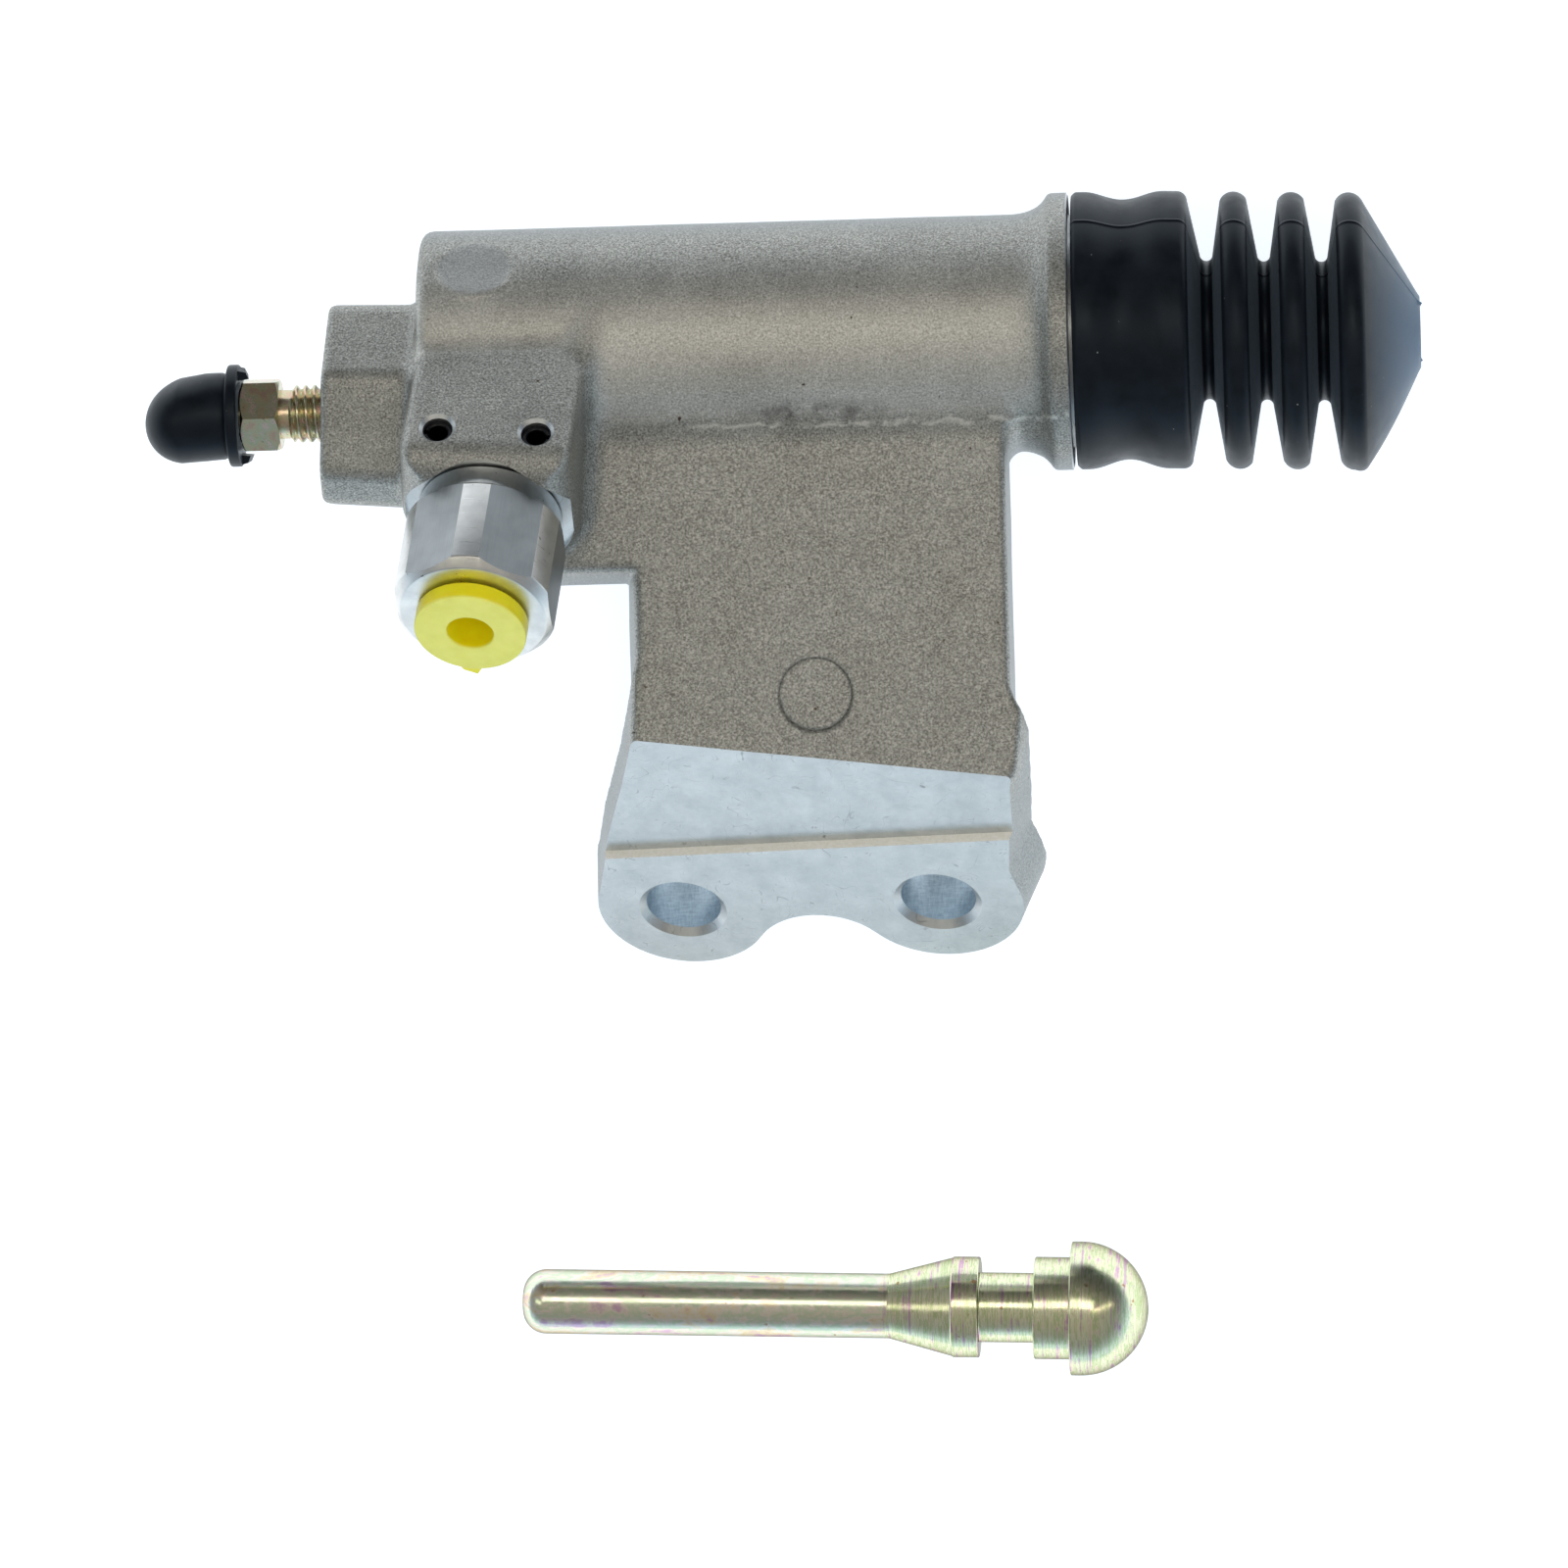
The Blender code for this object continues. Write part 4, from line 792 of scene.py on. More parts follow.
def net_quads(values, index):
    """A quad round every grid edge that crosses the surface."""
    within = values < 0.0
    quads = []
    for axis in range(3):
        u, v = np.eye(3, dtype=int)[(axis + 1) % 3], np.eye(3, dtype=int)[(axis + 2) % 3]
        ahead = np.roll(within, -1, axis)
        edges = np.argwhere(within != ahead)
        ring = [edges - u - v, edges - v, edges, edges - u]
        quad = np.stack([index[r[:, 0], r[:, 1], r[:, 2]] for r in ring], 1)
        outward = within[edges[:, 0], edges[:, 1], edges[:, 2]]
        quads.append(np.where(outward[:, None], quad, quad[:, ::-1]))
    return np.concatenate(quads)


def net_of(distance, low, high, step):
    """Closed quad mesh of the surface where the distance is zero."""
    low = np.array(low, dtype=float)
    counts = [int(4 * math.ceil((h - b) / step / 4.0)) for h, b in zip(high, low)]
    values = sampled(distance, low, counts, step)
    within = (values < 0.0).astype(np.int8)
    full = sum(
        within[i : counts[0] - 1 + i, j : counts[1] - 1 + j, k : counts[2] - 1 + k]
        for i, j, k in itertools.product((0, 1), repeat=3)
    )
    cells = np.argwhere((full > 0) & (full < 8))
    index = np.full(counts, -1)
    index[cells[:, 0], cells[:, 1], cells[:, 2]] = np.arange(len(cells))
    points = low + crossing_points(values, cells) * step
    return onto_surface(distance, points), net_quads(values, index)


# Meshes


def mesh_of(name, points, faces, finishes):
    data = bpy.data.meshes.new(name)
    data.from_pydata([tuple(point) for point in points], [], [tuple(face) for face in faces])
    for finish in finishes:
        data.materials.append(finish)
    data.shade_smooth()
    return data


def linked(name, data):
    made = bpy.data.objects.new(name, data)
    bpy.context.scene.collection.objects.link(made)
    return made


def facing_out(points, faces):
    """A closed body's points and faces, turned over if it is inside out."""
    at = np.array(points)
    volume = 0.0
    for face in faces:
        for second, third in zip(face[1:], face[2:]):
            volume += float(np.dot(at[face[0]], np.cross(at[second], at[third])))
    return at, faces if volume > 0.0 else [list(reversed(face)) for face in faces]


def turned(profile, facets=FINE_FACETS, angles=None):
    """A body of revolution about Z, from (z, radius) points that close on themselves."""
    if angles is None:
        angles = np.linspace(0.0, 2.0 * math.pi, facets, endpoint=False)
    count = len(angles)
    points, rings = [], []
    for z, radius in profile:
        start = len(points)
        if radius < 1e-6:
            points.append((0.0, 0.0, z))
            rings.append([start] * count)
            continue
        points += [(radius * math.cos(a), radius * math.sin(a), z) for a in angles]
        rings.append(list(range(start, start + count)))
    faces = []
    for low, high in zip(rings, rings[1:] + rings[:1]):
        for i in range(count):
            j = (i + 1) % count
            corners = list(dict.fromkeys((low[i], low[j], high[j], high[i])))
            if len(corners) > 2:
                faces.append(corners)
    return facing_out(points, faces)


def swept(rings):
    """A closed body through rings of as many points each, with flat ends."""
    sides, last = len(rings[0]), len(rings) - 1
    points = [point for ring in rings for point in ring]
    faces = []
    for start in range(0, last * sides, sides):
        for k in range(sides):
            here, after = start + k, start + (k + 1) % sides
            faces.append([here, after, after + sides, here + sides])
    faces.append(list(reversed(range(sides))))
    faces.append(list(range(last * sides, (last + 1) * sides)))
    return facing_out(points, faces)


def prism(outline, low, high):
    ring = anticlockwise(outline)
    return swept([[(x, y, z) for x, y in ring] for z in (low, high)])


def box(low, high):
    outline = [(low[0], low[1]), (high[0], low[1]), (high[0], high[1]), (low[0], high[1])]
    return prism(outline, low[2], high[2])


def moved(points, placed):
    at = np.array(placed)
    return np.asarray(points) @ at[:3, :3].T + at[:3, 3]


def cut_by(target, shape, placed=STILL, operation="DIFFERENCE", slot=0):
    """Cuts or joins at once, with the cut's faces in one of the target's material slots."""
    points, faces = shape
    data = mesh_of("tool", moved(points, placed), faces, target.data.materials)
    data.polygons.foreach_set("material_index", [slot] * len(data.polygons))
    other = linked("tool", data)
    modifier = target.modifiers.new("cut", "BOOLEAN")
    modifier.object = other
    modifier.operation = operation
    modifier.solver = "MANIFOLD"
    swap_for_evaluated(target)
    bpy.data.objects.remove(other)


def swap_for_evaluated(target):
    graph = bpy.context.evaluated_depsgraph_get()
    fresh = bpy.data.meshes.new_from_object(target.evaluated_get(graph))
    old = target.data
    target.modifiers.clear()
    target.data = fresh
    bpy.data.meshes.remove(old)


def read_all(collection, key, width=1, kind=float):
    """One value of every element of a mesh, as an array."""
    values = np.zeros(len(collection) * width, dtype=kind)
    collection.foreach_get(key, values)
    return values


def mark_edges(data, soft_angle, crisp_angle):
    """Sharp edges: those of machined faces past one angle, and the cast ones past another."""
    slots = read_all(data.polygons, "material_index", kind=int)
    normals = read_all(data.polygons, "normal", 3).reshape(-1, 3)
    edge_of_loop = read_all(data.loops, "edge_index", kind=int)
    face_of_loop = np.repeat(np.arange(len(data.polygons)), read_all(data.polygons, "loop_total", kind=int))
    order = np.argsort(edge_of_loop, kind="stable")
    edges, faces = edge_of_loop[order], face_of_loop[order]
    pair = np.flatnonzero(edges[:-1] == edges[1:])
    first, second = faces[pair], faces[pair + 1]
    bend = (normals[first] * normals[second]).sum(1)
    crisp = (slots[first] > 0) | (slots[second] > 0)
    limit = np.where(crisp, math.cos(math.radians(crisp_angle)), math.cos(math.radians(soft_angle)))
    between_slots = slots[first] != slots[second]
    sharp = np.zeros(len(data.edges), dtype=bool)
    sharp[edges[pair]] = (bend < limit) | (between_slots & (bend < SLOT_BEND))
    attribute = data.attributes.get("sharp_edge") or data.attributes.new("sharp_edge", "BOOLEAN", "EDGE")
    attribute.data.foreach_set("value", sharp)


def blank(name, shape, scale=1.0):
    """A piece's mesh with its finishes, still in its own frame."""
    points, faces = shape
    finishes = [FINISHES[key] for key in PIECES[name][4:]]
    return linked(name, mesh_of(name, np.asarray(points) * scale, faces, finishes))


def piece(name, shape):
    """A piece straight from its shape."""
    made = blank(name, shape, MM)
    made.data.set_sharp_from_angle(angle=PIECE_SMOOTH_ANGLE)
    return settle(made)


def settle_cut(made, soft_angle, crisp_angle):
    """A piece that was cut or joined in millimetres."""
    made.data.transform(Matrix.Scale(MM, 4))
    mark_edges(made.data, soft_angle, crisp_angle)
    return settle(made)


def settle(made):
    """Turns the mesh into its place, and keeps the coordinates of its own frame for the materials."""
    place, body, stands_for, slot = PIECES[made.name][:4]
    own = read_all(made.data.vertices, "co", 3, np.float32)
    kept = made.data.attributes.new(OWN_FRAME, "FLOAT_VECTOR", "POINT")
    kept.data.foreach_set("vector", own)
    made.data.transform(rod_in_world() if place == "rod" else in_world(place))
    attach(made, body)
    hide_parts(stands_for)
    return made


def in_world(name):
    placed = PLACES[name].copy()
    placed.translation = placed.translation * MM
    return WORLD @ placed


def even_normals(made):
    """Keeps flat faces flat beside their small roundings."""
    weighted = made.modifiers.new("even normals", "WEIGHTED_NORMAL")
    weighted.weight = 50
    weighted.keep_sharp = True


# Casting


def capped(*points):
    """A profile closed to the axis at both ends."""
    return [(points[0][0], 0.0), *points, (points[-1][0], 0.0)]


def spigot_tool():
    groove_start = SPIGOT_GROOVE_AT - SPIGOT_GROOVE_WIDTH / 2.0
    groove_end = SPIGOT_GROOVE_AT + SPIGOT_GROOVE_WIDTH / 2.0
    groove_r = SPIGOT_R - SPIGOT_GROOVE_DEPTH
    clear = FLANGE_R + 3.0
    return [
        (0.0, clear),
        (0.0, FLANGE_R + 0.2),
        (-0.25, FLANGE_R - 0.05),
        (0.0, FLANGE_R - 0.35),
        (0.0, SPIGOT_R),
        (groove_start - SPIGOT_GROOVE_DEPTH, SPIGOT_R),
        (groove_start, groove_r),
        (groove_end, groove_r),
        (groove_end + SPIGOT_GROOVE_DEPTH, SPIGOT_R),
        (SPIGOT_LENGTH - MOUTH_CHAMFER, SPIGOT_R),
        (SPIGOT_LENGTH, SPIGOT_R - MOUTH_CHAMFER),
        (SPIGOT_LENGTH, 0.0),
        (SPIGOT_LENGTH + 4.0, 0.0),
        (SPIGOT_LENGTH + 4.0, clear),
    ]


def bore_tool():
    end = SPIGOT_LENGTH + 2.0
    cone_r = BORE_R + MOUTH_CHAMFER + end - SPIGOT_LENGTH
    return capped((BORE_BOTTOM, BORE_R), (SPIGOT_LENGTH - MOUTH_CHAMFER, BORE_R), (end, cone_r))


def bolt_hole_tool():
    return capped((PAST, BOLT_HOLE_R), (-LUG_THICKNESS - PAST, BOLT_HOLE_R))


def bolt_chamfer_tool(face):
    """Cone at one end of a bolt hole: face is +1 at the machined end and -1 at the cast one."""
    level = 0.0 if face > 0 else -LUG_THICKNESS
    wide = (level + PAST * face, BOLT_HOLE_R + BOLT_CHAMFER + PAST)
    narrow = (level - (BOLT_CHAMFER + PAST) * face, BOLT_HOLE_R - PAST)
    return capped(wide, narrow)


def socket_tool():
    floor = BLOCK_LENGTH - SPOTFACE_DEPTH
    return capped(
        (BLOCK_LENGTH + PAST, SPOTFACE_R),
        (floor, SPOTFACE_R),
        (floor, SOCKET_R),
        (SOCKET_BOTTOM, SOCKET_R),
        (SOCKET_BOTTOM, PORT_R),
        (BORE_R - 2.0, PORT_R),
    )


def pin_hole_tool():
    hole_r = PIN_R + PIN_GAP
    return capped(
        (BLOCK_FACE + PAST, hole_r + PIN_HOLE_CHAMFER + PAST),
        (BLOCK_FACE - PIN_HOLE_CHAMFER, hole_r),
        (BLOCK_FACE - PIN_RECESS - PIN_LENGTH - SEAT_GAP, hole_r),
    )


def bleeder_tool():
    hole_r = BLEED_THREAD_R + 0.08
    chamfer = 0.5
    into_bore = -BOSS_LENGTH - (BORE_BOTTOM - BARREL_END) - 3.0
    return capped(
        (PAST, hole_r + chamfer + PAST),
        (-chamfer, hole_r),
        (-BLEED_HOLE_DEPTH, hole_r),
        (-BLEED_HOLE_DEPTH - BLEED_SEAT_LENGTH, BLEED_PASSAGE_R),
        (into_bore, BLEED_PASSAGE_R),
    )


def web_mark_tool():
    """A fine ring that an ejector pin leaves in the web's front, its groove wider than deep."""
    return [(-0.24, WEB_MARK_R), (0.4, WEB_MARK_R + 0.7), (0.4, WEB_MARK_R - 0.5)]


def mark_riser(body, riser):
    """The relief's step gets its own finish: the faces that look along the step's own Y."""
    along = riser.to_3x3() @ Vector((0.0, 1.0, 0.0))
    start = riser.translation.dot(along)
    for face in body.data.polygons:
        if face.material_index == MILLED and abs(face.center.dot(along) - start) < 0.01:
            face.material_index = STEPPED


def machine(body):
    far = 120.0
    half = BOLT_SPACING / 2.0
    pad = PLACES["pad"]
    cut_by(body, box((-far, -far, 0.0), (far, far, far)), pad, slot=MILLED)
    riser = pad @ shift(half, RISER_AT, 0.0) @ rotation("Z", RISER_TURN)
    cut_by(body, box((-far, 0.0, -PAD_RELIEF), (far, far, far)), riser, slot=MILLED)
    mark_riser(body, riser)
    cut_by(body, turned(spigot_tool(), ROUND_FACETS), PLACES["bore"], slot=MILLED)
    cut_by(body, turned(bore_tool()), PLACES["bore"], slot=MILLED)
    cut_by(body, turned(socket_tool()), PLACES["inlet"], slot=MILLED)
    cut_by(body, turned(bleeder_tool()), PLACES["bleed"], slot=MILLED)
    for x in (-half, half):
        hole = pad @ shift(x, 0.0, 0.0)
        cut_by(body, turned(bolt_hole_tool()), hole, slot=BORED)
        for face in (1, -1):
            cut_by(body, turned(bolt_chamfer_tool(face)), hole, slot=MILLED)
    for side in ("pin_left", "pin_right"):
        cut_by(body, turned(pin_hole_tool(), PIN_FACETS), PLACES[side], slot=MILLED)
    mark = shift(WEB_MARK_X, WEB_MARK_Y, WEB_FRONT + 0.02) @ rotation("X", WEB_MARK_TILT)
    cut_by(body, turned(web_mark_tool()), mark)


def make_casting():
    net = net_of(casting_distance, CAST_BOX_LOW, CAST_BOX_HIGH, CAST_STEP)
    body = blank("cylinder_casting", net)
    machine(body)
    settle_cut(body, soft_angle=62.0, crisp_angle=24.0)


# Boot


def last_crest():
    return BOOT_FIRST_CREST + BOOT_CREST_PITCH * (BOOT_CRESTS - 1)


def crests_and_necks():
    """Where each crest of the boot is, and the neck before it."""
    crests = [BOOT_FIRST_CREST + BOOT_CREST_PITCH * i for i in range(BOOT_CRESTS)]
    return [(crest, crest - BOOT_CREST_PITCH / 2.0) for crest in crests]


def boot_outer():
    waist = (BOOT_BAND_R - BOOT_WAIST_R) / 2.0
    start, stop = BOOT_START + 1.6, 2.0 * SPIGOT_GROOVE_AT - BOOT_START - 1.6
    points = [(BOOT_START, BOOT_BAND_R - 0.5), (BOOT_START + 0.5, BOOT_BAND_R)]
    for i in range(25):
        dip = waist * (1.0 - math.cos(2.0 * math.pi * i / 24))
        points.append((start + (stop - start) * i / 24, BOOT_BAND_R - dip))
    points += arc((BOOT_BAND_END - 1.3, BOOT_BAND_R - 1.3), 1.3, 90.0, 0.0, 6)
    for crest, neck in crests_and_necks():
        points += arc((neck, BOOT_NECK_R + BOOT_NECK_ROUND), BOOT_NECK_ROUND, 205.0, 335.0, 6)
        points += arc((crest, BOOT_CREST_R - BOOT_CREST_ROUND), BOOT_CREST_ROUND, 155.0, 35.0, 9)
    (z, radius), end = points[-1], (BOOT_NOSE_END - 0.4, BOOT_NOSE_R + 0.3)
    points += [(z + (end[0] - z) * i / 8, radius + (end[1] - radius) * i / 8) for i in range(1, 9)]
    return points + [(BOOT_NOSE_END, BOOT_NOSE_R - 0.3)]


def boot_inner():
    nose_start = BOOT_NOSE_END - BOOT_NOSE_LENGTH
    lip = 0.6
    neck_r = BOOT_NECK_R - BOOT_WALL
    points = [
        (BOOT_NOSE_END, BOOT_HOLE_R + lip),
        (BOOT_NOSE_END - lip, BOOT_HOLE_R),
        (nose_start + lip, BOOT_HOLE_R),
        (nose_start, BOOT_HOLE_R + lip),
        (nose_start, BOOT_NECK_R + 2.6),
    ]
    flat = BOOT_NECK_ROUND
    for crest, neck in reversed(crests_and_necks()):
        points.append((crest, BOOT_CREST_R - BOOT_WALL))
        points += [(neck + BOOT_WALL + flat, BOOT_NECK_R), (neck + flat, neck_r)]
        if crest > BOOT_FIRST_CREST:
            points += [(neck - flat, neck_r), (neck - BOOT_WALL - flat, BOOT_NECK_R)]
    inside_r = SPIGOT_R + SEAT_GAP
    bead_r = inside_r - SPIGOT_GROOVE_DEPTH
    spigot_end = SPIGOT_LENGTH + SEAT_GAP
    half = SPIGOT_GROOVE_WIDTH / 2.0
    return points + [
        (spigot_end + 0.9, neck_r),
        (spigot_end, neck_r + 0.9),
        (spigot_end, inside_r),
        (SPIGOT_GROOVE_AT + half + SPIGOT_GROOVE_DEPTH, inside_r),
        (SPIGOT_GROOVE_AT + half, bead_r),
        (SPIGOT_GROOVE_AT - half, bead_r),
        (SPIGOT_GROOVE_AT - half - SPIGOT_GROOVE_DEPTH, inside_r),
        (BOOT_START, inside_r),
    ]


def seamed_angles(count):
    """Angles round the boot, packed closely at its two mould seams."""
    width = BOOT_SEAM_WIDTH / BOOT_CREST_R
    close = [step * width * 0.5 for step in range(-6, 7)]
    angles = [i * 2.0 * math.pi / count for i in range(count)]
    for seam in BOOT_SEAMS:
        angles = [a for a in angles if abs(a - seam) > width * 4.0]
        angles += [seam + offset for offset in close]
    return np.array(sorted(angles))


def make_boot():
    outer = eased(boot_outer(), 0.25, closed=False)
    angles = seamed_angles(ROUND_FACETS)
    points, faces = turned(outer + eased(boot_inner(), 0.2, closed=False), angles=angles)
    near = sum(np.exp(-(((angles - seam) * BOOT_CREST_R / BOOT_SEAM_WIDTH) ** 2)) for seam in BOOT_SEAMS)
    lift = np.zeros(len(points))
    lift[: len(outer) * len(angles)] = np.tile(near, len(outer)) * BOOT_SEAM_HEIGHT
    radius = np.hypot(points[:, 0], points[:, 1])
    points[:, :2] *= (1.0 + lift / radius)[:, None]
    nose = points[:, 2] > BOOT_NOSE_END - 0.2
    points[nose, 2] += lift[nose] * 2.0
    along = np.clip((points[:, 2] - last_crest()) / (BOOT_NOSE_END - last_crest()), 0.0, 1.0)
    under = np.clip(-points[:, 1] / radius, 0.0, 1.0)
    points[:, :2] *= (1.0 + BOOT_NOSE_BULGE * np.sin(math.pi * along) * under / radius)[:, None]
    points[:, 1] -= math.tan(BOOT_SAG) * np.maximum(points[:, 2] - BOOT_SAG_FROM, 0.0)
    piece("bellows_boot", (points, faces))


# Pieces in the bore


def piston_grooves():
    skirt_end = PISTON_MOUTH_END - CUP_SKIRT_LAND
    head_start = PISTON_MOUTH_END - PISTON_LENGTH + CUP_HEAD_LAND
    return (skirt_end - CUP_GROOVE_WIDTH, skirt_end), (head_start, head_start + CUP_GROOVE_WIDTH)


def groove_in(land_r, floor_r, start, end):
    """The four profile points of a square groove."""
    return [(start, land_r), (start, floor_r), (end, floor_r), (end, land_r)]


def make_piston():
    land_r = BORE_R - RUNNING_FIT
    chamfer = 0.5
    shoulder = PISTON_MOUTH_END - PISTON_LENGTH
    nose_end = shoulder - PISTON_NOSE_LENGTH
    skirt, head = piston_grooves()
    socket_centre = PISTON_MOUTH_END - PISTON_SOCKET_DEPTH + PISTON_SOCKET_R
    profile = [
        (nose_end, 0.0),
        (nose_end, PISTON_NOSE_R - chamfer),
        (nose_end + chamfer, PISTON_NOSE_R),
        (shoulder, PISTON_NOSE_R),
        (shoulder, land_r - chamfer),
        (shoulder + chamfer, land_r),
        *groove_in(land_r, CUP_GROOVE_R, *head),
        *groove_in(land_r, CUP_GROOVE_R, *skirt),
        (PISTON_MOUTH_END - chamfer, land_r),
        (PISTON_MOUTH_END, land_r - chamfer),
        (PISTON_MOUTH_END, PISTON_SOCKET_R + chamfer),
        (PISTON_MOUTH_END - chamfer, PISTON_SOCKET_R),
    ]
    socket = arc((socket_centre, 0.0), PISTON_SOCKET_R, 90.0, 180.0, 12)
    even_normals(piece("turned_piston", turned(eased(profile, 0.12) + socket)))


def make_cup(name, groove):
    back, lips = groove[1] - SEAT_GAP / 2.0, groove[0] + SEAT_GAP / 2.0
    inner_r = CUP_GROOVE_R + 0.05
    outer_r = BORE_R - RUNNING_FIT / 2.0 - 0.01
    depth = (back - lips) * 0.55
    profile = [
        (back, inner_r),
        (lips + 0.2, inner_r),
        (lips, inner_r + 0.4),
        (lips + depth, (inner_r + outer_r) / 2.0),
        (lips, outer_r - 0.4),
        (lips + 0.3, outer_r),
        (lips + depth, outer_r - 0.25),
        (back - 0.3, outer_r - 0.25),
        (back, outer_r - 0.6),
    ]
    piece(name, turned(eased(profile, 0.12)))


def spring_height(turn, start, end):
    flat_rise = SPRING_WIRE_R * 2.15
    if turn < 1.0:
        return start + flat_rise * turn
    if turn > SPRING_TURNS - 1.0:
        return end - flat_rise * (SPRING_TURNS - turn)
    share = (turn - 1.0) / (SPRING_TURNS - 2.0)
    return start + flat_rise + (end - start - 2.0 * flat_rise) * share


def make_spring():
    start = BORE_BOTTOM + SEAT_GAP + SPRING_WIRE_R
    end = PISTON_MOUTH_END - PISTON_LENGTH - SEAT_GAP - SPRING_WIRE_R
    steps, sides = 40, 10
    rings = []
    for i in range(int(SPRING_TURNS * steps) + 1):
        angle = 2.0 * math.pi * i / steps
        height = spring_height(i / steps, start, end)
        section = arc((SPRING_R, height), SPRING_WIRE_R, 0.0, 360.0, sides)[:-1]
        rings.append([(radius * math.cos(angle), radius * math.sin(angle), z) for radius, z in section])
    made = piece("coil_spring", swept(rings))
    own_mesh(made)


# Fitting, pins and plug


def spigot_profile():
    spigot_r = SOCKET_R - SPIGOT_GAP
    start = SOCKET_BOTTOM + SEAT_GAP
    half_ring = O_RING_GROOVE_WIDTH / 2.0
    half_pin = PIN_GROOVE_WIDTH / 2.0
    ring_groove_r = spigot_r - 2.0 * O_RING_R - 0.03
    neck_start = BLOCK_LENGTH - SPOTFACE_DEPTH + SEAT_GAP
    profile = capped(
        (start, spigot_r - 0.6),
        (start + 0.6, spigot_r),
        *groove_in(spigot_r, ring_groove_r, O_RING_AT - half_ring, O_RING_AT + half_ring),
        *groove_in(spigot_r, PIN_OFFSET - PIN_R - PIN_GAP, PIN_AT - half_pin, PIN_AT + half_pin),
        (neck_start, spigot_r),
        (neck_start, NECK_R),
        (HEX_START + 1.0, NECK_R),
    )
    return eased(profile, 0.1)


def hexagon_envelope():
    """What turning leaves of the hexagon: cut-back corners and cones at both ends."""
    profile = capped(
        (HEX_START, HEX_CORNER_R - HEX_CHAMFER),
        (HEX_START + HEX_CHAMFER, HEX_CORNER_R),
        (HEX_END - HEX_CHAMFER, HEX_CORNER_R),
        (HEX_END, HEX_CORNER_R - HEX_CHAMFER),
    )
    return eased(profile, 0.15)


def hose_passage():
    chamfer = 0.8
    return capped(
        (HEX_END + PAST, HOSE_THREAD_R + chamfer + PAST),
        (HEX_END - chamfer, HOSE_THREAD_R),
        (HEX_END - HOSE_THREAD_DEPTH, HOSE_THREAD_R),
        (HEX_END - HOSE_THREAD_DEPTH - 2.0, PASSAGE_R),
        (SOCKET_BOTTOM + SEAT_GAP - PAST, PASSAGE_R),
    )


def make_hose_joint():
    outline = hexagon(HEX_FLATS, HEX_TURN)
    joint = blank("hex_fitting", prism(outline, HEX_START - PAST, HEX_END + PAST))
    cut_by(joint, turned(hexagon_envelope(), ROUND_FACETS), operation="INTERSECT", slot=MILLED)
    cut_by(joint, turned(spigot_profile(), ROUND_FACETS), operation="UNION", slot=MILLED)
    cut_by(joint, turned(hose_passage(), ROUND_FACETS), slot=MILLED)
    settle_cut(joint, 20.0, 20.0)


def make_o_ring():
    section = arc((O_RING_AT, SOCKET_R - SPIGOT_GAP - O_RING_R), O_RING_R, 0.0, 345.0, 23)
    piece("seal_ring", turned(section))


def pin_angle(radius, share):
    """How far round the pin's sheet a share of it is, at a radius; both edges are parallel to the slot."""
    outer_edge = math.asin(PIN_SLOT / 2.0 / PIN_R)
    inner_edge = math.asin(PIN_SLOT / 2.0 / (PIN_R - PIN_WALL))
    edge = outer_edge + (inner_edge - outer_edge) * (PIN_R - radius) / PIN_WALL
    return edge + (2.0 * math.pi - 2.0 * edge) * share


def make_pin(name):
    """Sheet rolled round its hole, open along one side, its ends eased."""
    inner_r = PIN_R - PIN_WALL
    top = BLOCK_FACE - PIN_RECESS
    bottom = top - PIN_LENGTH
    ease = 0.15
    section = [
        (bottom, PIN_R - ease),
        (bottom + ease, PIN_R),
        (top - ease, PIN_R),
        (top, PIN_R - ease),
        (top, inner_r + ease),
        (top - ease, inner_r),
        (bottom + ease, inner_r),
        (bottom, inner_r + ease),
    ]
    steps = 60
    rings = []
    for i in range(steps + 1):
        angles = [pin_angle(radius, i / steps) for z, radius in section]
        rings.append([(r * math.cos(a), r * math.sin(a), z) for (z, r), a in zip(section, angles)])
    piece(name, swept(rings))


def make_plug():
    back = HEX_END + PLUG_STANDS_OFF
    front = back + PLUG_FLANGE_THICKNESS
    tip = back - PLUG_NECK_LENGTH
    profile = capped(
        (tip, PLUG_NECK_R - 0.6),
        (tip + 1.2, PLUG_NECK_R),
        (back, PLUG_NECK_R),
        (back, PLUG_FLANGE_R),
        (front, PLUG_FLANGE_R),
        (front, PLUG_HOLE_R),
        (front - PLUG_HOLE_DEPTH, PLUG_HOLE_R - 0.15),
    )
    plug = blank("yellow_plug", turned(eased(profile, 0.3, 4), ROUND_FACETS))
    cut_by(plug, gate_stub(back, front), rotation("Z", PLUG_GATE_AT), "UNION")
    even_normals(settle_cut(plug, 50.0, 50.0))


def gate_stub(back, front):
    """The torn stub where the plug was moulded, along +X of its own turn."""
    reach = PLUG_FLANGE_R - 0.6
    tip = PLUG_FLANGE_R + 1.5
    low, high = back + 1.2, front - 0.25
    near = [(reach, -1.9, low), (reach, 1.6, low), (reach, 1.6, high), (reach, -1.9, high)]
    far = [(tip - 0.6, -1.3, low + 0.2), (tip, 0.6, low + 0.3)]
    far += [(tip + 0.1, 0.7, high - 0.3), (tip - 0.7, -1.2, high - 0.2)]
    return swept([near, far])


# Bleeder


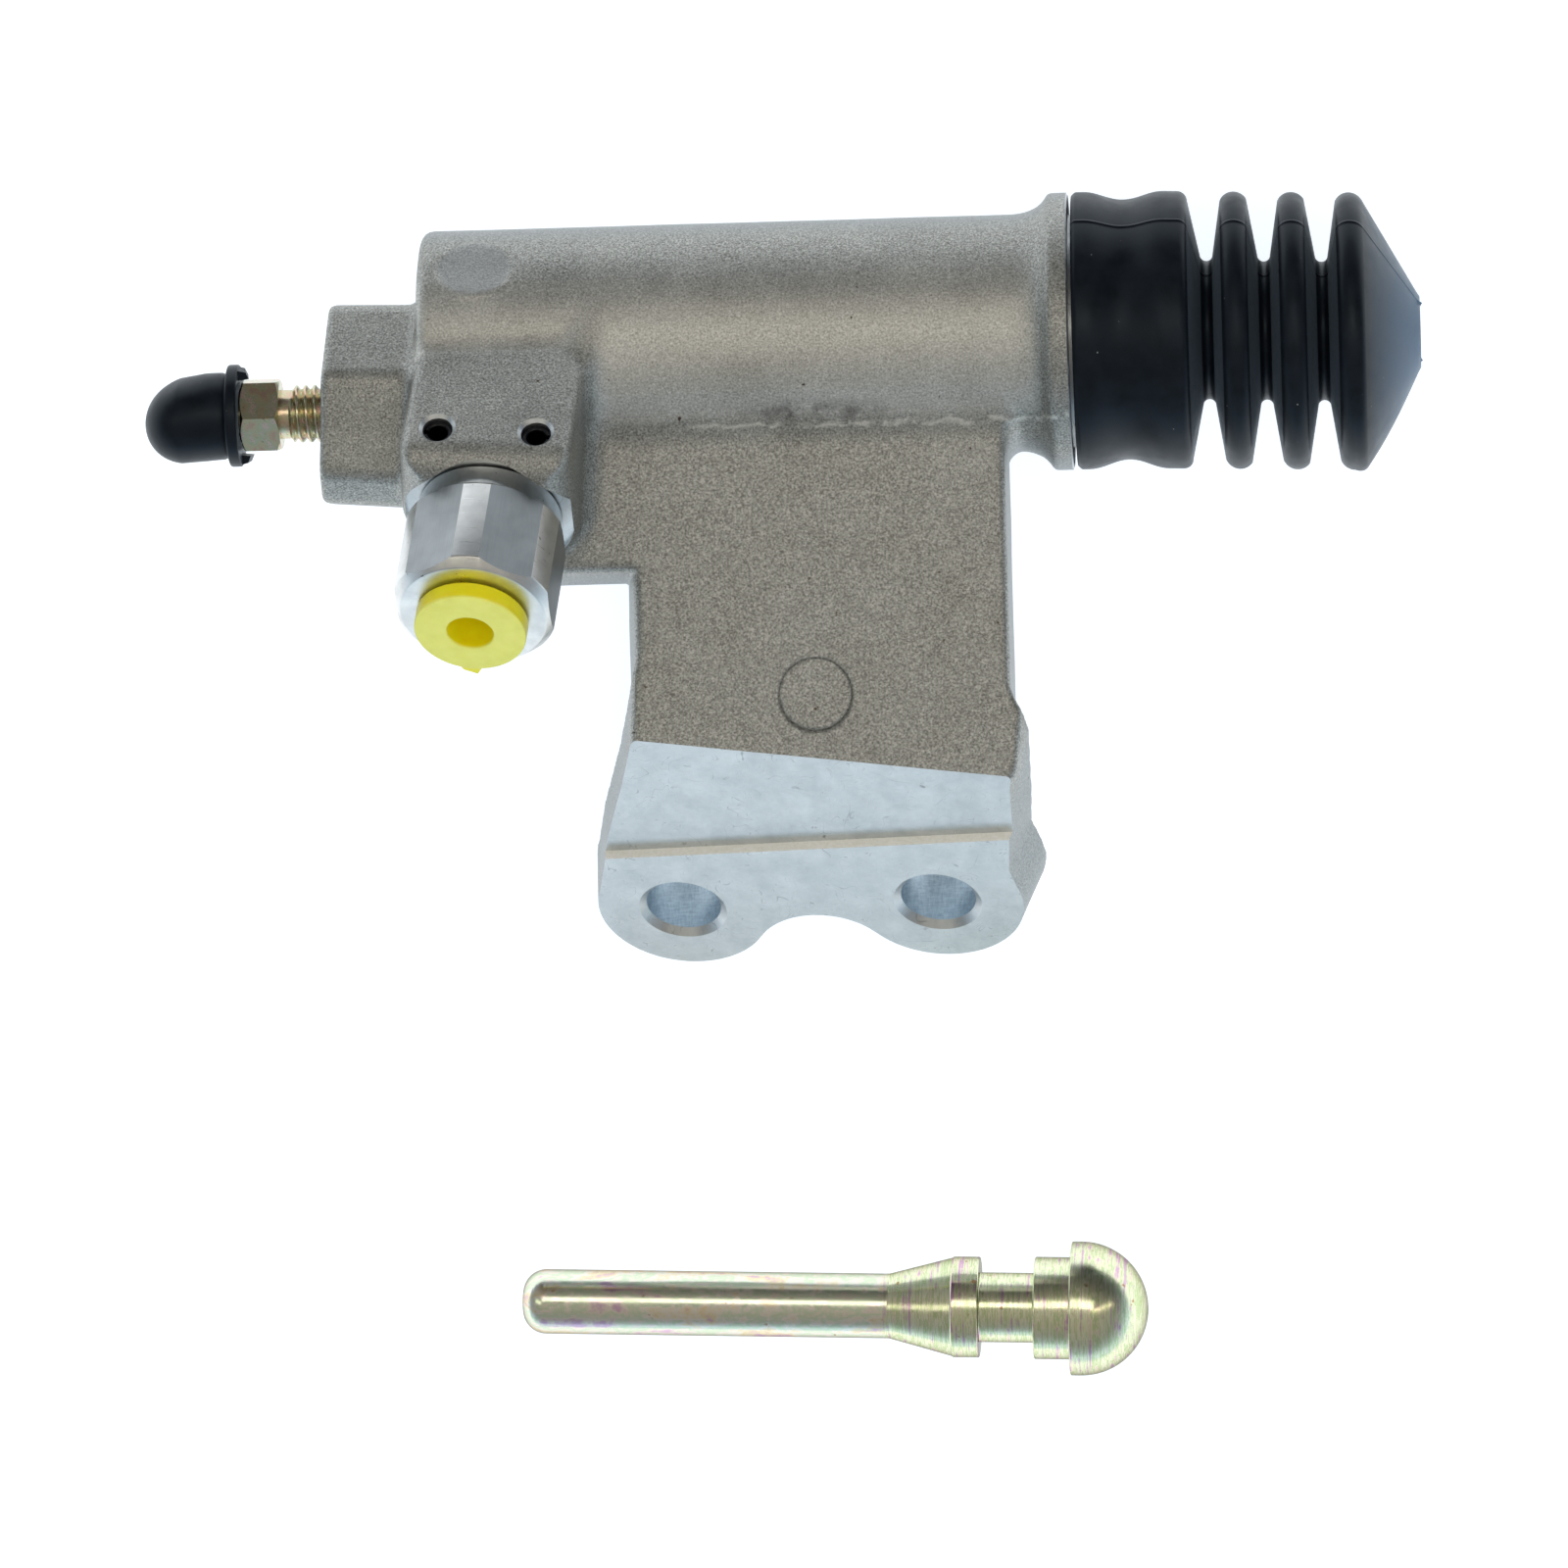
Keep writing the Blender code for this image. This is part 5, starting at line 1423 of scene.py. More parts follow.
def screw_profile():
    """The screw's lower end, its shank's height and radius, and its neck and nipple."""
    seat = -BLEED_HOLE_DEPTH
    shank_r = BLEED_THREAD_R - 0.72
    lower = [(seat - 2.5, 0.0), (seat - 2.5, 0.9), (seat - 1.2, 2.35), (seat - 0.6, shank_r)]
    upper = [
        (BLEED_THREAD_END + 0.1, BLEED_NECK_R),
        (BLEED_HEX_END - 1.0, BLEED_NECK_R),
        (BLEED_HEX_END - 1.0, NIPPLE_R),
        (NIPPLE_END - 4.5, NIPPLE_R),
        (NIPPLE_END - 4.0, NIPPLE_BARB_R),
        (NIPPLE_END - 0.8, NIPPLE_R - 0.2),
        (NIPPLE_END, NIPPLE_R - 0.8),
        (NIPPLE_END, NIPPLE_BORE_R),
        (0.0, NIPPLE_BORE_R),
        (-0.5, 0.0),
    ]
    return lower, shank_r, upper


def thread_shape():
    """The screw's shank with a helical thread, its nipple and their common outline."""
    lower, shank_r, upper = screw_profile()
    start = 3.4 - BLEED_HOLE_DEPTH
    levels = np.arange(start, BLEED_THREAD_END, BLEED_PITCH / 10.0)
    angles = np.linspace(0.0, 2.0 * math.pi, THREAD_FACETS, endpoint=False)
    points, faces = turned(lower + [(z, shank_r) for z in levels] + upper, THREAD_FACETS)
    first = 1 + 3 * THREAD_FACETS
    for i, z in enumerate(levels):
        phase = (z / BLEED_PITCH - angles / (2.0 * math.pi)) % 1.0
        ridge = np.clip(1.25 - np.abs(phase - 0.5) * 2.6, 0.0, 1.0)
        fade = max(0.0, min(1.0, (z - start) / 1.2, (BLEED_THREAD_END - z) / 0.35))
        radius = shank_r + 0.1 + (BLEED_THREAD_R - shank_r - 0.1) * ridge * fade
        at = first + i * THREAD_FACETS
        points[at : at + THREAD_FACETS, 0] = radius * np.cos(angles)
        points[at : at + THREAD_FACETS, 1] = radius * np.sin(angles)
    return points, faces


def make_bleed_screw():
    corner_r = BLEED_HEX_FLATS / math.sqrt(3.0)
    chamfer, chamfer_r = 0.5, corner_r - 0.75
    envelope = capped(
        (BLEED_HEX_AT, chamfer_r),
        (BLEED_HEX_AT + chamfer, corner_r + 0.02),
        (BLEED_HEX_END - chamfer, corner_r + 0.02),
        (BLEED_HEX_END, chamfer_r),
    )
    outline = hexagon(BLEED_HEX_FLATS, BLEED_HEX_TURN)
    screw = blank("threaded_screw", prism(outline, BLEED_HEX_AT - PAST, BLEED_HEX_END + PAST))
    cut_by(screw, turned(envelope), operation="INTERSECT")
    cut_by(screw, thread_shape(), operation="UNION")
    settle_cut(screw, 26.0, 26.0)


def cap_profile():
    bore_r = NIPPLE_BARB_R + 0.1
    bore_end = CAP_MOUTH + CAP_BORE_LENGTH
    profile = [
        (bore_end, 0.0),
        (bore_end - 1.0, bore_r),
        (CAP_MOUTH, bore_r),
        (CAP_MOUTH, CAP_FLANGE_R),
        (CAP_FLANGE_END, CAP_FLANGE_R),
        (CAP_FLANGE_END, CAP_WAIST_R),
    ]
    waist = [(CAP_FLANGE_END + 0.8 + i * 0.8, CAP_WAIST_R + 0.035 * i) for i in range(4)]
    return eased(profile, 0.35, 4) + waist + arc((CAP_TIP - CAP_R, 0.0), CAP_R, 78.0, 0.0, 18)


def make_cap():
    """The cap droops a little toward its tip, and has a dent and the two stubs of its strap."""
    points, faces = turned(cap_profile(), ROUND_FACETS)
    outside = np.hypot(points[:, 0], points[:, 1]) > 0.5
    away = np.linalg.norm(points - np.array(CAP_DENT_AT), axis=1)
    press = np.where(outside, CAP_DENT * np.exp(-((away / CAP_DENT_R) ** 2)), 0.0)
    toward = points - np.array([0.0, 0.0, CAP_TIP - CAP_R])
    toward /= np.linalg.norm(toward, axis=1)[:, None]
    points = points - toward * press[:, None]
    share = np.clip((points[:, 2] - CAP_FLANGE_END) / (CAP_TIP - CAP_FLANGE_END), 0.0, 1.0)
    points[:, 1] -= CAP_DROOP * share**2
    cap = blank("nipple_cap", (points, faces))
    for angle in CAP_STUBS:
        cut_by(cap, strap_stub(), rotation("Z", math.radians(angle)), "UNION")
    settle_cut(cap, 50.0, 50.0)


def strap_stub():
    """A torn stub behind the cap's flange, out along +X of its own turn."""
    near = [(5.3, -1.5, 0.4), (6.9, -1.5, 0.4), (6.9, 1.5, 1.0), (5.3, 1.5, 1.0)]
    far = [(5.5, -1.2, -1.5), (6.4, -1.1, -1.1), (6.5, 1.0, -0.8), (5.5, 1.2, -1.2)]
    points, faces = swept([near, far])
    return points + np.array([0.0, 0.0, CAP_MOUTH]), faces


# Push rod


def rod_profile():
    cone = ROD_SHAFT_LENGTH
    collar = cone + ROD_CONE_LENGTH
    groove = collar + ROD_COLLAR_LENGTH
    second = groove + ROD_GROOVE_LENGTH
    head = second + ROD_SECOND_COLLAR_LENGTH
    ball = head + ROD_HEAD_RIM
    tip = arc((ROD_TIP_ROUND, ROD_R - ROD_TIP_ROUND), ROD_TIP_ROUND, 180.0, 90.0, 8)
    shaft = [
        (cone, ROD_R),
        (collar, ROD_COLLAR_R - 0.15),
        (collar + 0.15, ROD_COLLAR_R),
        (groove, ROD_COLLAR_R),
        (groove, ROD_GROOVE_R),
        (second, ROD_GROOVE_R),
        (second, ROD_SECOND_COLLAR_R),
        (head, ROD_SECOND_COLLAR_R),
        (head, ROD_HEAD_R),
    ]
    dome = arc((ball, 0.0), ROD_HEAD_R, 90.0, 0.0, 24)[:-1] + [(ball + ROD_HEAD_R, 0.0)]
    return [(0.0, 0.0)] + tip + shaft + dome


def make_rod():
    even_normals(piece("polished_rod", turned(eased(rod_profile(), 0.22, 4), ROUND_FACETS)))


# Materials


class Value:
    """A node's output that can be reckoned with: each sign or call adds a node."""

    def __init__(self, graph, socket):
        self.graph = graph
        self.socket = socket

    def reckon(self, operation, other=0.0):
        return self.graph.node("Math", "Value", {0: self, 1: other}, operation=operation)

    __add__ = partialmethod(reckon, "ADD")
    __sub__ = partialmethod(reckon, "SUBTRACT")
    __mul__ = partialmethod(reckon, "MULTIPLY")
    __pow__ = partialmethod(reckon, "POWER")
    __abs__ = partialmethod(reckon, "ABSOLUTE")

    def levels(self, low, high, to_low=0.0, to_high=1.0):
        bounds = {"From Min": low, "From Max": high, "To Min": to_low, "To Max": to_high}
        return self.graph.node("MapRange", "Result", {"Value": self, **bounds})

    def band(self, middle, half_width):
        """One at a value, fading to nothing half a width away on both sides."""
        return abs(self - middle).levels(0.0, half_width, 1.0, 0.0)

    def ramp(self, *stops):
        made = self.graph.node("ValToRGB", "Color", {"Fac": self})
        elements = made.socket.node.color_ramp.elements
        while len(elements) < len(stops):
            elements.new(0.5)
        for element, (place, colour) in zip(elements, stops):
            element.position = place
            element.color = (*colour, 1.0)
        return made

    def between(self, first, second):
        """The first colour where the value is none, and the second where it is one."""
        inputs = {"Factor": self, MIX_FIRST: first, MIX_SECOND: second}
        return self.graph.node("Mix", MIX_RESULT, inputs, data_type="RGBA")


def away(first, second):
    """How far off a point is, from two distances square to each other."""
    return (abs(first) ** 2.0 + abs(second) ** 2.0).reckon("SQRT")


class Graph:
    """A node tree, with short ways to add nodes."""

    def __init__(self, owner, source, output, **settings):
        """The source is the node that most of the tree starts from, such as its coordinates."""
        owner.use_nodes = True
        self.tree = owner.node_tree
        self.source = self.node(source, output, {}, **settings)

    def put(self, socket, value):
        if isinstance(value, Value):
            self.tree.links.new(value.socket, socket)
        else:
            socket.default_value = (*value, 1.0) if socket.type == "RGBA" else value

    def node(self, kind, output, inputs, **settings):
        made = self.tree.nodes.new(f"ShaderNode{kind}")
        for key, value in settings.items():
            setattr(made, key, value)
        for key, value in inputs.items():
            self.put(made.inputs[key], value)
        return Value(self, made.outputs[output])

    def along(self, direction):
        """How far a point lies along a direction."""
        inputs = {0: self.source, 1: direction}
        return self.node("VectorMath", "Value", inputs, operation="DOT_PRODUCT")


class Finish(Graph):
    """A Principled material in the coordinates of its piece's own frame."""

    def __init__(self, name, **values):
        self.material = bpy.data.materials.new(name)
        super().__init__(self.material, "Attribute", "Vector", attribute_name=OWN_FRAME)
        self.shader = self.tree.nodes["Principled BSDF"]
        for key, value in values.items():
            self.put(self.shader.inputs[key.replace("_", " ")], value)

    def done(self, colour, roughness, normal):
        """Feeds the shader and gives back the material."""
        for key, value in (("Base Color", colour), ("Roughness", roughness), ("Normal", normal)):
            self.put(self.shader.inputs[key], value)
        return self.material

    def stretched(self, *scale):
        return self.node("Mapping", "Vector", {"Scale": scale, "Vector": self.source})

    def noise(self, size, detail=3.0, roughness=0.55, across=None, distortion=0.0):
        """Noise with features of about a size in millimetres."""
        inputs = {"Scale": 1.0 / (size * MM), "Detail": detail, "Roughness": roughness}
        inputs.update({"Distortion": distortion, "Vector": across or self.source})
        return self.node("TexNoise", "Fac", inputs)

    def bump(self, height, depth, strength=1.0, under=None):
        """Bump of a depth in millimetres."""
        inputs = {"Height": height, "Distance": depth * MM, "Strength": strength}
        return self.node("Bump", "Normal", inputs | ({"Normal": under} if under else {}))

    def hairs(self, size, width):
        """Thin curved lines, here and there, where a slow noise passes its middle."""
        slow = self.noise(size, 1.0, 0.5, distortion=1.6)
        return slow.band(0.5, width) * self.noise(size * 0.5, 2.0, 0.5).levels(0.52, 0.60)

    def part(self, axis):
        return self.node("SeparateXYZ", axis, {"Vector": self.source})


def cast_finish():
    """Die-cast skin: fine grey grain, with a painted highlight on the barrel's front, painted cool
    reflection on faces turned from the front, and painted shade and highlight along the torn line of flash
    at its foot.
    """
    finish = Finish("cast_skin", Metallic=0.85, Roughness=0.5)
    x, y, z = [finish.part(axis) for axis in "XYZ"]
    blotch = finish.noise(11.0, 4.0, 0.6)
    mottled = finish.noise(0.27, 2.0, 0.6) * 0.78 + blotch * 0.22
    skin = mottled.ramp(*zip(CAST_STOPS, CAST_TONES))
    # Painted highlight: paler tones on the barrel's front, from the web up to near its top, where the light
    # catches it
    barrel_highlight_skin = mottled.ramp(*zip(CAST_STOPS, BARREL_HIGHLIGHT_TONES))
    round_part = away(y, z).levels((BARREL_R + 0.4) * MM, (BARREL_R + 1.3) * MM, 1.0, 0.0)
    on_barrel = round_part * x.levels((BARREL_END - 0.6) * MM, (BARREL_END + 0.6) * MM)
    forward = z.levels(7.0 * MM, 13.0 * MM)
    height = y + finish.noise(3.0, 4.0, 0.6).levels(0.3, 0.7, -1.0, 1.0) * (0.6 * MM)
    above = height.levels(WEB_START + 0.1 * MM, WEB_START + 1.4 * MM)
    below = y.levels(4.0 * MM, 10.5 * MM, 1.0, 0.0)
    skin = (above * below * (forward * on_barrel)).between(skin, barrel_highlight_skin)
    # Painted reflection: faces lying low in Z, turned away from the front, get a cool blue-grey mixed in
    skin = z.levels(3.0 * MM, 9.5 * MM, 0.5, 0.0).between(skin, (0.37, 0.41, 0.44))
    skin = flash_shade_and_highlight(finish, skin, height)
    skin = (ejector_mark(finish) * 0.5).between(skin, (0.36, 0.37, 0.385))
    # Painted shade in the ring mark's groove on the web
    skin = (web_ring_shade(finish) * 0.28).between(skin, (0.13, 0.125, 0.11))
    speck = finish.noise(1.3, 2.0, 0.5).levels(0.74, 0.79)
    pits = finish.bump(finish.noise(0.30, 2.0, 0.6), 0.075, 0.8)
    surface = finish.bump(finish.noise(2.6), 0.035, 0.5, pits)
    return finish.done(speck.between(skin, (0.10, 0.07, 0.05)), blotch.levels(0.3, 0.7, 0.42, 0.54), surface)


def flash_shade_and_highlight(finish, skin, height):
    """Painted shade over the middle of the flash line, and a painted highlight along its edge."""
    x = finish.part("X")
    front = finish.part("Z").levels(9.0 * MM, 10.5 * MM)
    near = abs(x - FLASH_SHADE_X * MM).levels(4.0 * MM, 11.0 * MM, 1.0, 0.15)
    patchy = finish.noise(3.0, 4.0, 0.65).levels(0.36, 0.60)
    flash_shade = height.band(WEB_START + 1.7 * MM, 2.0 * MM) * patchy * (near * front)
    skin = (flash_shade * 0.95).between(skin, (0.10, 0.097, 0.09))
    bits = finish.noise(1.6, 3.0, 0.6).levels(0.38, 0.52)
    across = x.levels((WEB_LEFT + 4.0) * MM, (WEB_LEFT + 12.0) * MM)
    # Painted highlight: a pale, broken line along the flash's edge
    edge = height.band(WEB_START - 0.1 * MM, 0.5 * MM) * bits * (across * front)
    return (edge * 0.75).between(skin, (0.82, 0.81, 0.76))


def web_ring_shade(finish):
    """Painted shade in the ring mark's groove on the web, fullest at its lower side and fainter toward its
    top.
    """
    x = finish.part("X") - WEB_MARK_X * MM
    y = finish.part("Y") - WEB_MARK_Y * MM
    groove_shade = away(x, y).band(WEB_MARK_R * MM, 0.34 * MM)
    low = y.levels(-WEB_MARK_R * MM, WEB_MARK_R * MM, 1.0, 0.45)
    return groove_shade * low * finish.part("Z").levels(10.0 * MM, 10.6 * MM)


def ejector_mark(finish):
    """One inside the round mark near the barrel's closed end, where the skin is smoother."""
    place = PLACES["ejector"]
    first, second, outward = [place.col[axis].to_3d() for axis in range(3)]
    reach = [finish.along(way) - place.translation.dot(way) * MM for way in (first, second)]
    inside = away(*reach).levels((EJECTOR_R - 0.5) * MM, (EJECTOR_R + 0.2) * MM, 1.0, 0.0)
    return inside * finish.along(outward).levels(10.0 * MM, 11.0 * MM)


def machined_finish():
    """Milled aluminium: pale, clouded, with hair scuffs and a few stains."""
    finish = Finish("milled_face", Metallic=1.0, Roughness=0.36)
    scuff = finish.noise(1.4, 5.0, 0.7, finish.stretched(1.0, 0.25, 1.0), 0.6)
    tone = finish.noise(4.0, 5.0, 0.7) * 0.6 + scuff * 0.4
    pale = tone.ramp((0.34, (0.54, 0.575, 0.59)), (0.60, (0.72, 0.745, 0.755)))
    hairs = finish.hairs(9.0, 0.006).reckon("MAXIMUM", finish.hairs(4.0, 0.009))
    marked = (hairs * 0.55).between(pale, (0.20, 0.21, 0.22))
    stain = finish.noise(2.2, 3.0, 0.6).levels(0.70, 0.76)
    surface = finish.bump(finish.noise(0.5, 3.0, 0.6), 0.014, 0.6)
    colour = stain.between(marked, (0.34, 0.35, 0.35))
    return finish.done(colour, scuff.levels(0.3, 0.75, 0.32, 0.52), surface)


def bored_finish():
    """The drilled walls of the bolt holes: duller, with fine crossing scratches, and bluer by a painted
    reflection of the cool light round them.
    """
    finish = Finish("drilled_wall_cool_reflection", Metallic=1.0, Roughness=0.5)
    first = finish.noise(0.3, 3.0, 0.6, finish.stretched(1.0, 0.12, 0.3))
    second = finish.noise(0.3, 3.0, 0.6, finish.stretched(0.2, 1.0, 0.15))
    crossed = (first + second) * 0.5
    colour = crossed.ramp((0.36, (0.44, 0.54, 0.62)), (0.62, (0.74, 0.84, 0.90)))
    return finish.done(colour, crossed.levels(0.3, 0.7, 0.42, 0.6), finish.bump(crossed, 0.02, 0.7))


def step_highlight_finish():
    """The relief's step: matt, pale and warm, a painted highlight standing in for the light the step
    catches.
    """
    finish = Finish("step_painted_highlight", Metallic=0.0, Roughness=0.6)
    marks = finish.noise(0.5, 4.0, 0.65)
    colour = marks.ramp((0.34, (0.86, 0.84, 0.76)), (0.64, (0.98, 0.97, 0.92)))
    return finish.done(colour, marks.levels(0.3, 0.7, 0.45, 0.65), finish.bump(marks, 0.02, 0.5))


def milled_finish():
    """The fitting's flats, brushed along its axis."""
    finish = Finish("brushed_flats", Metallic=1.0, Roughness=0.36)
    brush = finish.noise(0.25, 3.0, 0.6, finish.stretched(1.0, 1.0, 0.03))
    tone = brush * 0.5 + finish.noise(4.0) * 0.5
    colour = tone.ramp((0.35, (0.28, 0.30, 0.31)), (0.65, (0.39, 0.412, 0.425)))
    return finish.done(colour, brush.levels(0.3, 0.7, 0.3, 0.45), finish.bump(brush, 0.008, 0.5))


def turned_finish():
    """Turned faces, with rings round the axis and a few pits."""
    finish = Finish("turned_rings", Metallic=1.0, Roughness=0.32)
    rings = finish.noise(0.2, 3.0, 0.6, finish.stretched(0.04, 0.04, 1.0))
    shade = finish.noise(2.5).ramp((0.3, (0.70, 0.70, 0.69)), (0.7, (0.86, 0.86, 0.84)))
    pit = finish.noise(0.9, 2.0).levels(0.72, 0.76)
    colour = pit.between(shade, (0.16, 0.15, 0.14))
    return finish.done(colour, rings.levels(0.3, 0.7, 0.26, 0.42), finish.bump(rings, 0.006, 0.5))


def rubber_finish():
    """Moulded rubber, blue-black, with painted light on the boot's nose cone, blue specular and sheen tints
    that paint the cool reflections at its rims, and a little dust.
    """
    # The blue specular and sheen tints paint the cool reflections at the rubber's rims
    sheen = {"Sheen_Weight": 0.15, "Sheen_Roughness": 0.3, "Sheen_Tint": (0.62, 0.80, 1.0)}
    specular = {"Specular_IOR_Level": 0.30, "Specular_Tint": (0.70, 0.86, 1.0)}
    finish = Finish("moulded_rubber", Metallic=0.0, Roughness=0.38, **specular, **sheen)
    cloud = finish.noise(3.0, 4.0, 0.6)
    dust = finish.noise(0.7, 1.0, 0.4).levels(0.80, 0.84)
    black = cloud.ramp((0.3, (0.0018, 0.0026, 0.0045)), (0.7, (0.0045, 0.006, 0.010)))
    # Painted light: the boot's nose cone, past its last crest, is painted paler blue-grey where side light
    # falls on it
    lit_nose = finish.part("Z").levels((last_crest() + 2.0) * MM, BOOT_NOSE_END * MM)
    black = (lit_nose * cloud.levels(0.2, 0.8, 0.7, 1.0)).between(black, (0.18, 0.27, 0.40))
    surface = finish.bump(finish.noise(0.5, 3.0, 0.6), 0.012, 0.6)
    return finish.done(dust.between(black, (0.22, 0.22, 0.22)), cloud.levels(0.3, 0.7, 0.33, 0.46), surface)


def zinc_finish():
    """Yellow passivated zinc: green and pink where the film is thicker, ringed where the rod was turned."""
    finish = Finish("passivated_zinc", Metallic=1.0, Roughness=0.2, Specular_Tint=(0.34, 0.32, 0.31))
    streak = finish.noise(4.0, 3.0, 0.55, finish.stretched(1.0, 1.0, 0.22), 0.5)
    ring = finish.noise(0.7, 3.0, 0.6, finish.stretched(0.05, 0.05, 1.0))
    patch = finish.noise(1.8, 3.0, 0.6)
    film = (streak * 0.7 + patch * 0.3).levels(0.36, 0.66).ramp(*FILM_TONES)
    ringed = (ring * 0.75 + patch * 0.25).levels(0.36, 0.64).ramp(*RINGED_TONES)
    past_shaft = finish.part("Z").levels((ROD_SHAFT_LENGTH - 1.0) * MM, ROD_SHAFT_LENGTH * MM)
    spot = finish.noise(1.5, 2.0, 0.5).levels(0.70, 0.76, 0.0, 0.8)
    colour = spot.between(past_shaft.between(film, ringed), (0.46, 0.22, 0.07))
    surface = finish.bump(finish.noise(0.8, 3.0, 0.5), 0.008, 0.5, finish.bump(ring, 0.010, 0.5))
    return finish.done(colour, patch.levels(0.3, 0.7, 0.14, 0.25), surface)


def gold_finish():
    """The bleed screw's thicker film: olive gold and orange."""
    finish = Finish("gold_zinc", Metallic=1.0, Roughness=0.24)
    patch = finish.noise(2.0, 4.0, 0.6)
    fleck = finish.noise(0.5, 3.0, 0.6).levels(0.62, 0.72, 0.0, 0.7)
    colour = fleck.between(patch.ramp(*GOLD_TONES), (0.26, 0.17, 0.07))
    surface = finish.bump(finish.noise(0.5, 3.0, 0.5), 0.01, 0.5)
    return finish.done(colour, patch.levels(0.3, 0.7, 0.18, 0.30), surface)


def plastic_finish():
    """Soft yellow plastic that lets some light through, with a painted reflection that makes its front
    paler.
    """
    scatter = {"Subsurface_Radius": (1.0, 0.8, 0.1), "Subsurface_Scale": 1.2 * MM}
    finish = Finish("soft_yellow_plastic", Metallic=0.0, Roughness=0.38, Subsurface_Weight=0.35, **scatter)
    cloud = finish.noise(2.4, 3.0, 0.5)
    deep = cloud.ramp((0.3, (0.92, 0.79, 0.004)), (0.7, (0.97, 0.88, 0.01)))
    pale = cloud.ramp((0.3, (0.82, 0.81, 0.16)), (0.7, (0.90, 0.89, 0.22)))
    front = (HEX_END + PLUG_STANDS_OFF + PLUG_FLANGE_THICKNESS) * MM
    # Painted reflection: the flat front face is mixed toward a paler yellow
    lit_front = finish.part("Z").levels(front - 0.5 * MM, front - 0.1 * MM)
    surface = finish.bump(finish.noise(0.9, 2.0), 0.01, 0.5)
    return finish.done(lit_front.between(deep, pale), cloud.levels(0.3, 0.7, 0.32, 0.46), surface)


def steel_finish(name, dark, light, roughness):
    """Drawn steel, with fine marks along it."""
    finish = Finish(name, Metallic=1.0, Roughness=roughness)
    marks = finish.noise(0.6, 4.0, 0.6)
    rough = marks.levels(0.3, 0.7, roughness - 0.08, roughness + 0.08)
    return finish.done(marks.ramp((0.3, dark), (0.7, light)), rough, finish.bump(marks, 0.01, 0.5))


def make_finishes():
    return {
        "cast": cast_finish(),
        "machined": machined_finish(),
        "bored": bored_finish(),
        "step_highlight": step_highlight_finish(),
        "milled": milled_finish(),
        "turned": turned_finish(),
        "rubber": rubber_finish(),
        "zinc": zinc_finish(),
        "gold": gold_finish(),
        "plastic": plastic_finish(),
        "spring": steel_finish("spring_wire", (0.30, 0.30, 0.31), (0.46, 0.46, 0.47), 0.32),
        "black_steel": steel_finish("blackened_steel", (0.02, 0.02, 0.022), (0.05, 0.05, 0.055), 0.36),
        "anodised": steel_finish("anodised_piston", (0.44, 0.46, 0.48), (0.58, 0.60, 0.62), 0.34),
    }


# Stage


def set_camera():
    """The camera looks along the cylinder's own Z, turned and rolled a little."""
    seen = rotation("Z", CAMERA_ROLL) @ rotation("Y", CAMERA_YAW)
    seen.translation = Vector((AIM_LEFT, AIM_UP, 0.0)) * MM
    data = bpy.data.cameras.new("photo_camera")
    data.lens = LENS
    data.sensor_width = 36.0
    data.clip_start = 0.1
    data.clip_end = 10.0
    camera = linked("photo_camera", data)
    camera.matrix_world = WORLD @ seen.inverted() @ shift(0.0, 0.0, CAMERA_DISTANCE * MM)
    bpy.context.scene.camera = camera


def floor_material():
    """White ground: it shows white itself and in metal, and still takes the object's shadow."""
    material = bpy.data.materials.new("white_ground")
    graph = Graph(material, "LightPath", "Is Camera Ray")
    rays = graph.source.socket.node.outputs
    seen = graph.source
    for name in ("Is Glossy Ray", "Is Transmission Ray"):
        seen = seen.reckon("MAXIMUM", Value(graph, rays[name]))
    shader = graph.tree.nodes["Principled BSDF"].inputs
    graph.put(shader["Base Color"], (0.5, 0.5, 0.5))
    graph.put(shader["Roughness"], 0.9)
    graph.put(shader["Specular IOR Level"], 0.0)
    graph.put(shader["Emission Color"], FLOOR_GLOW)
    graph.put(shader["Emission Strength"], seen)
    return material


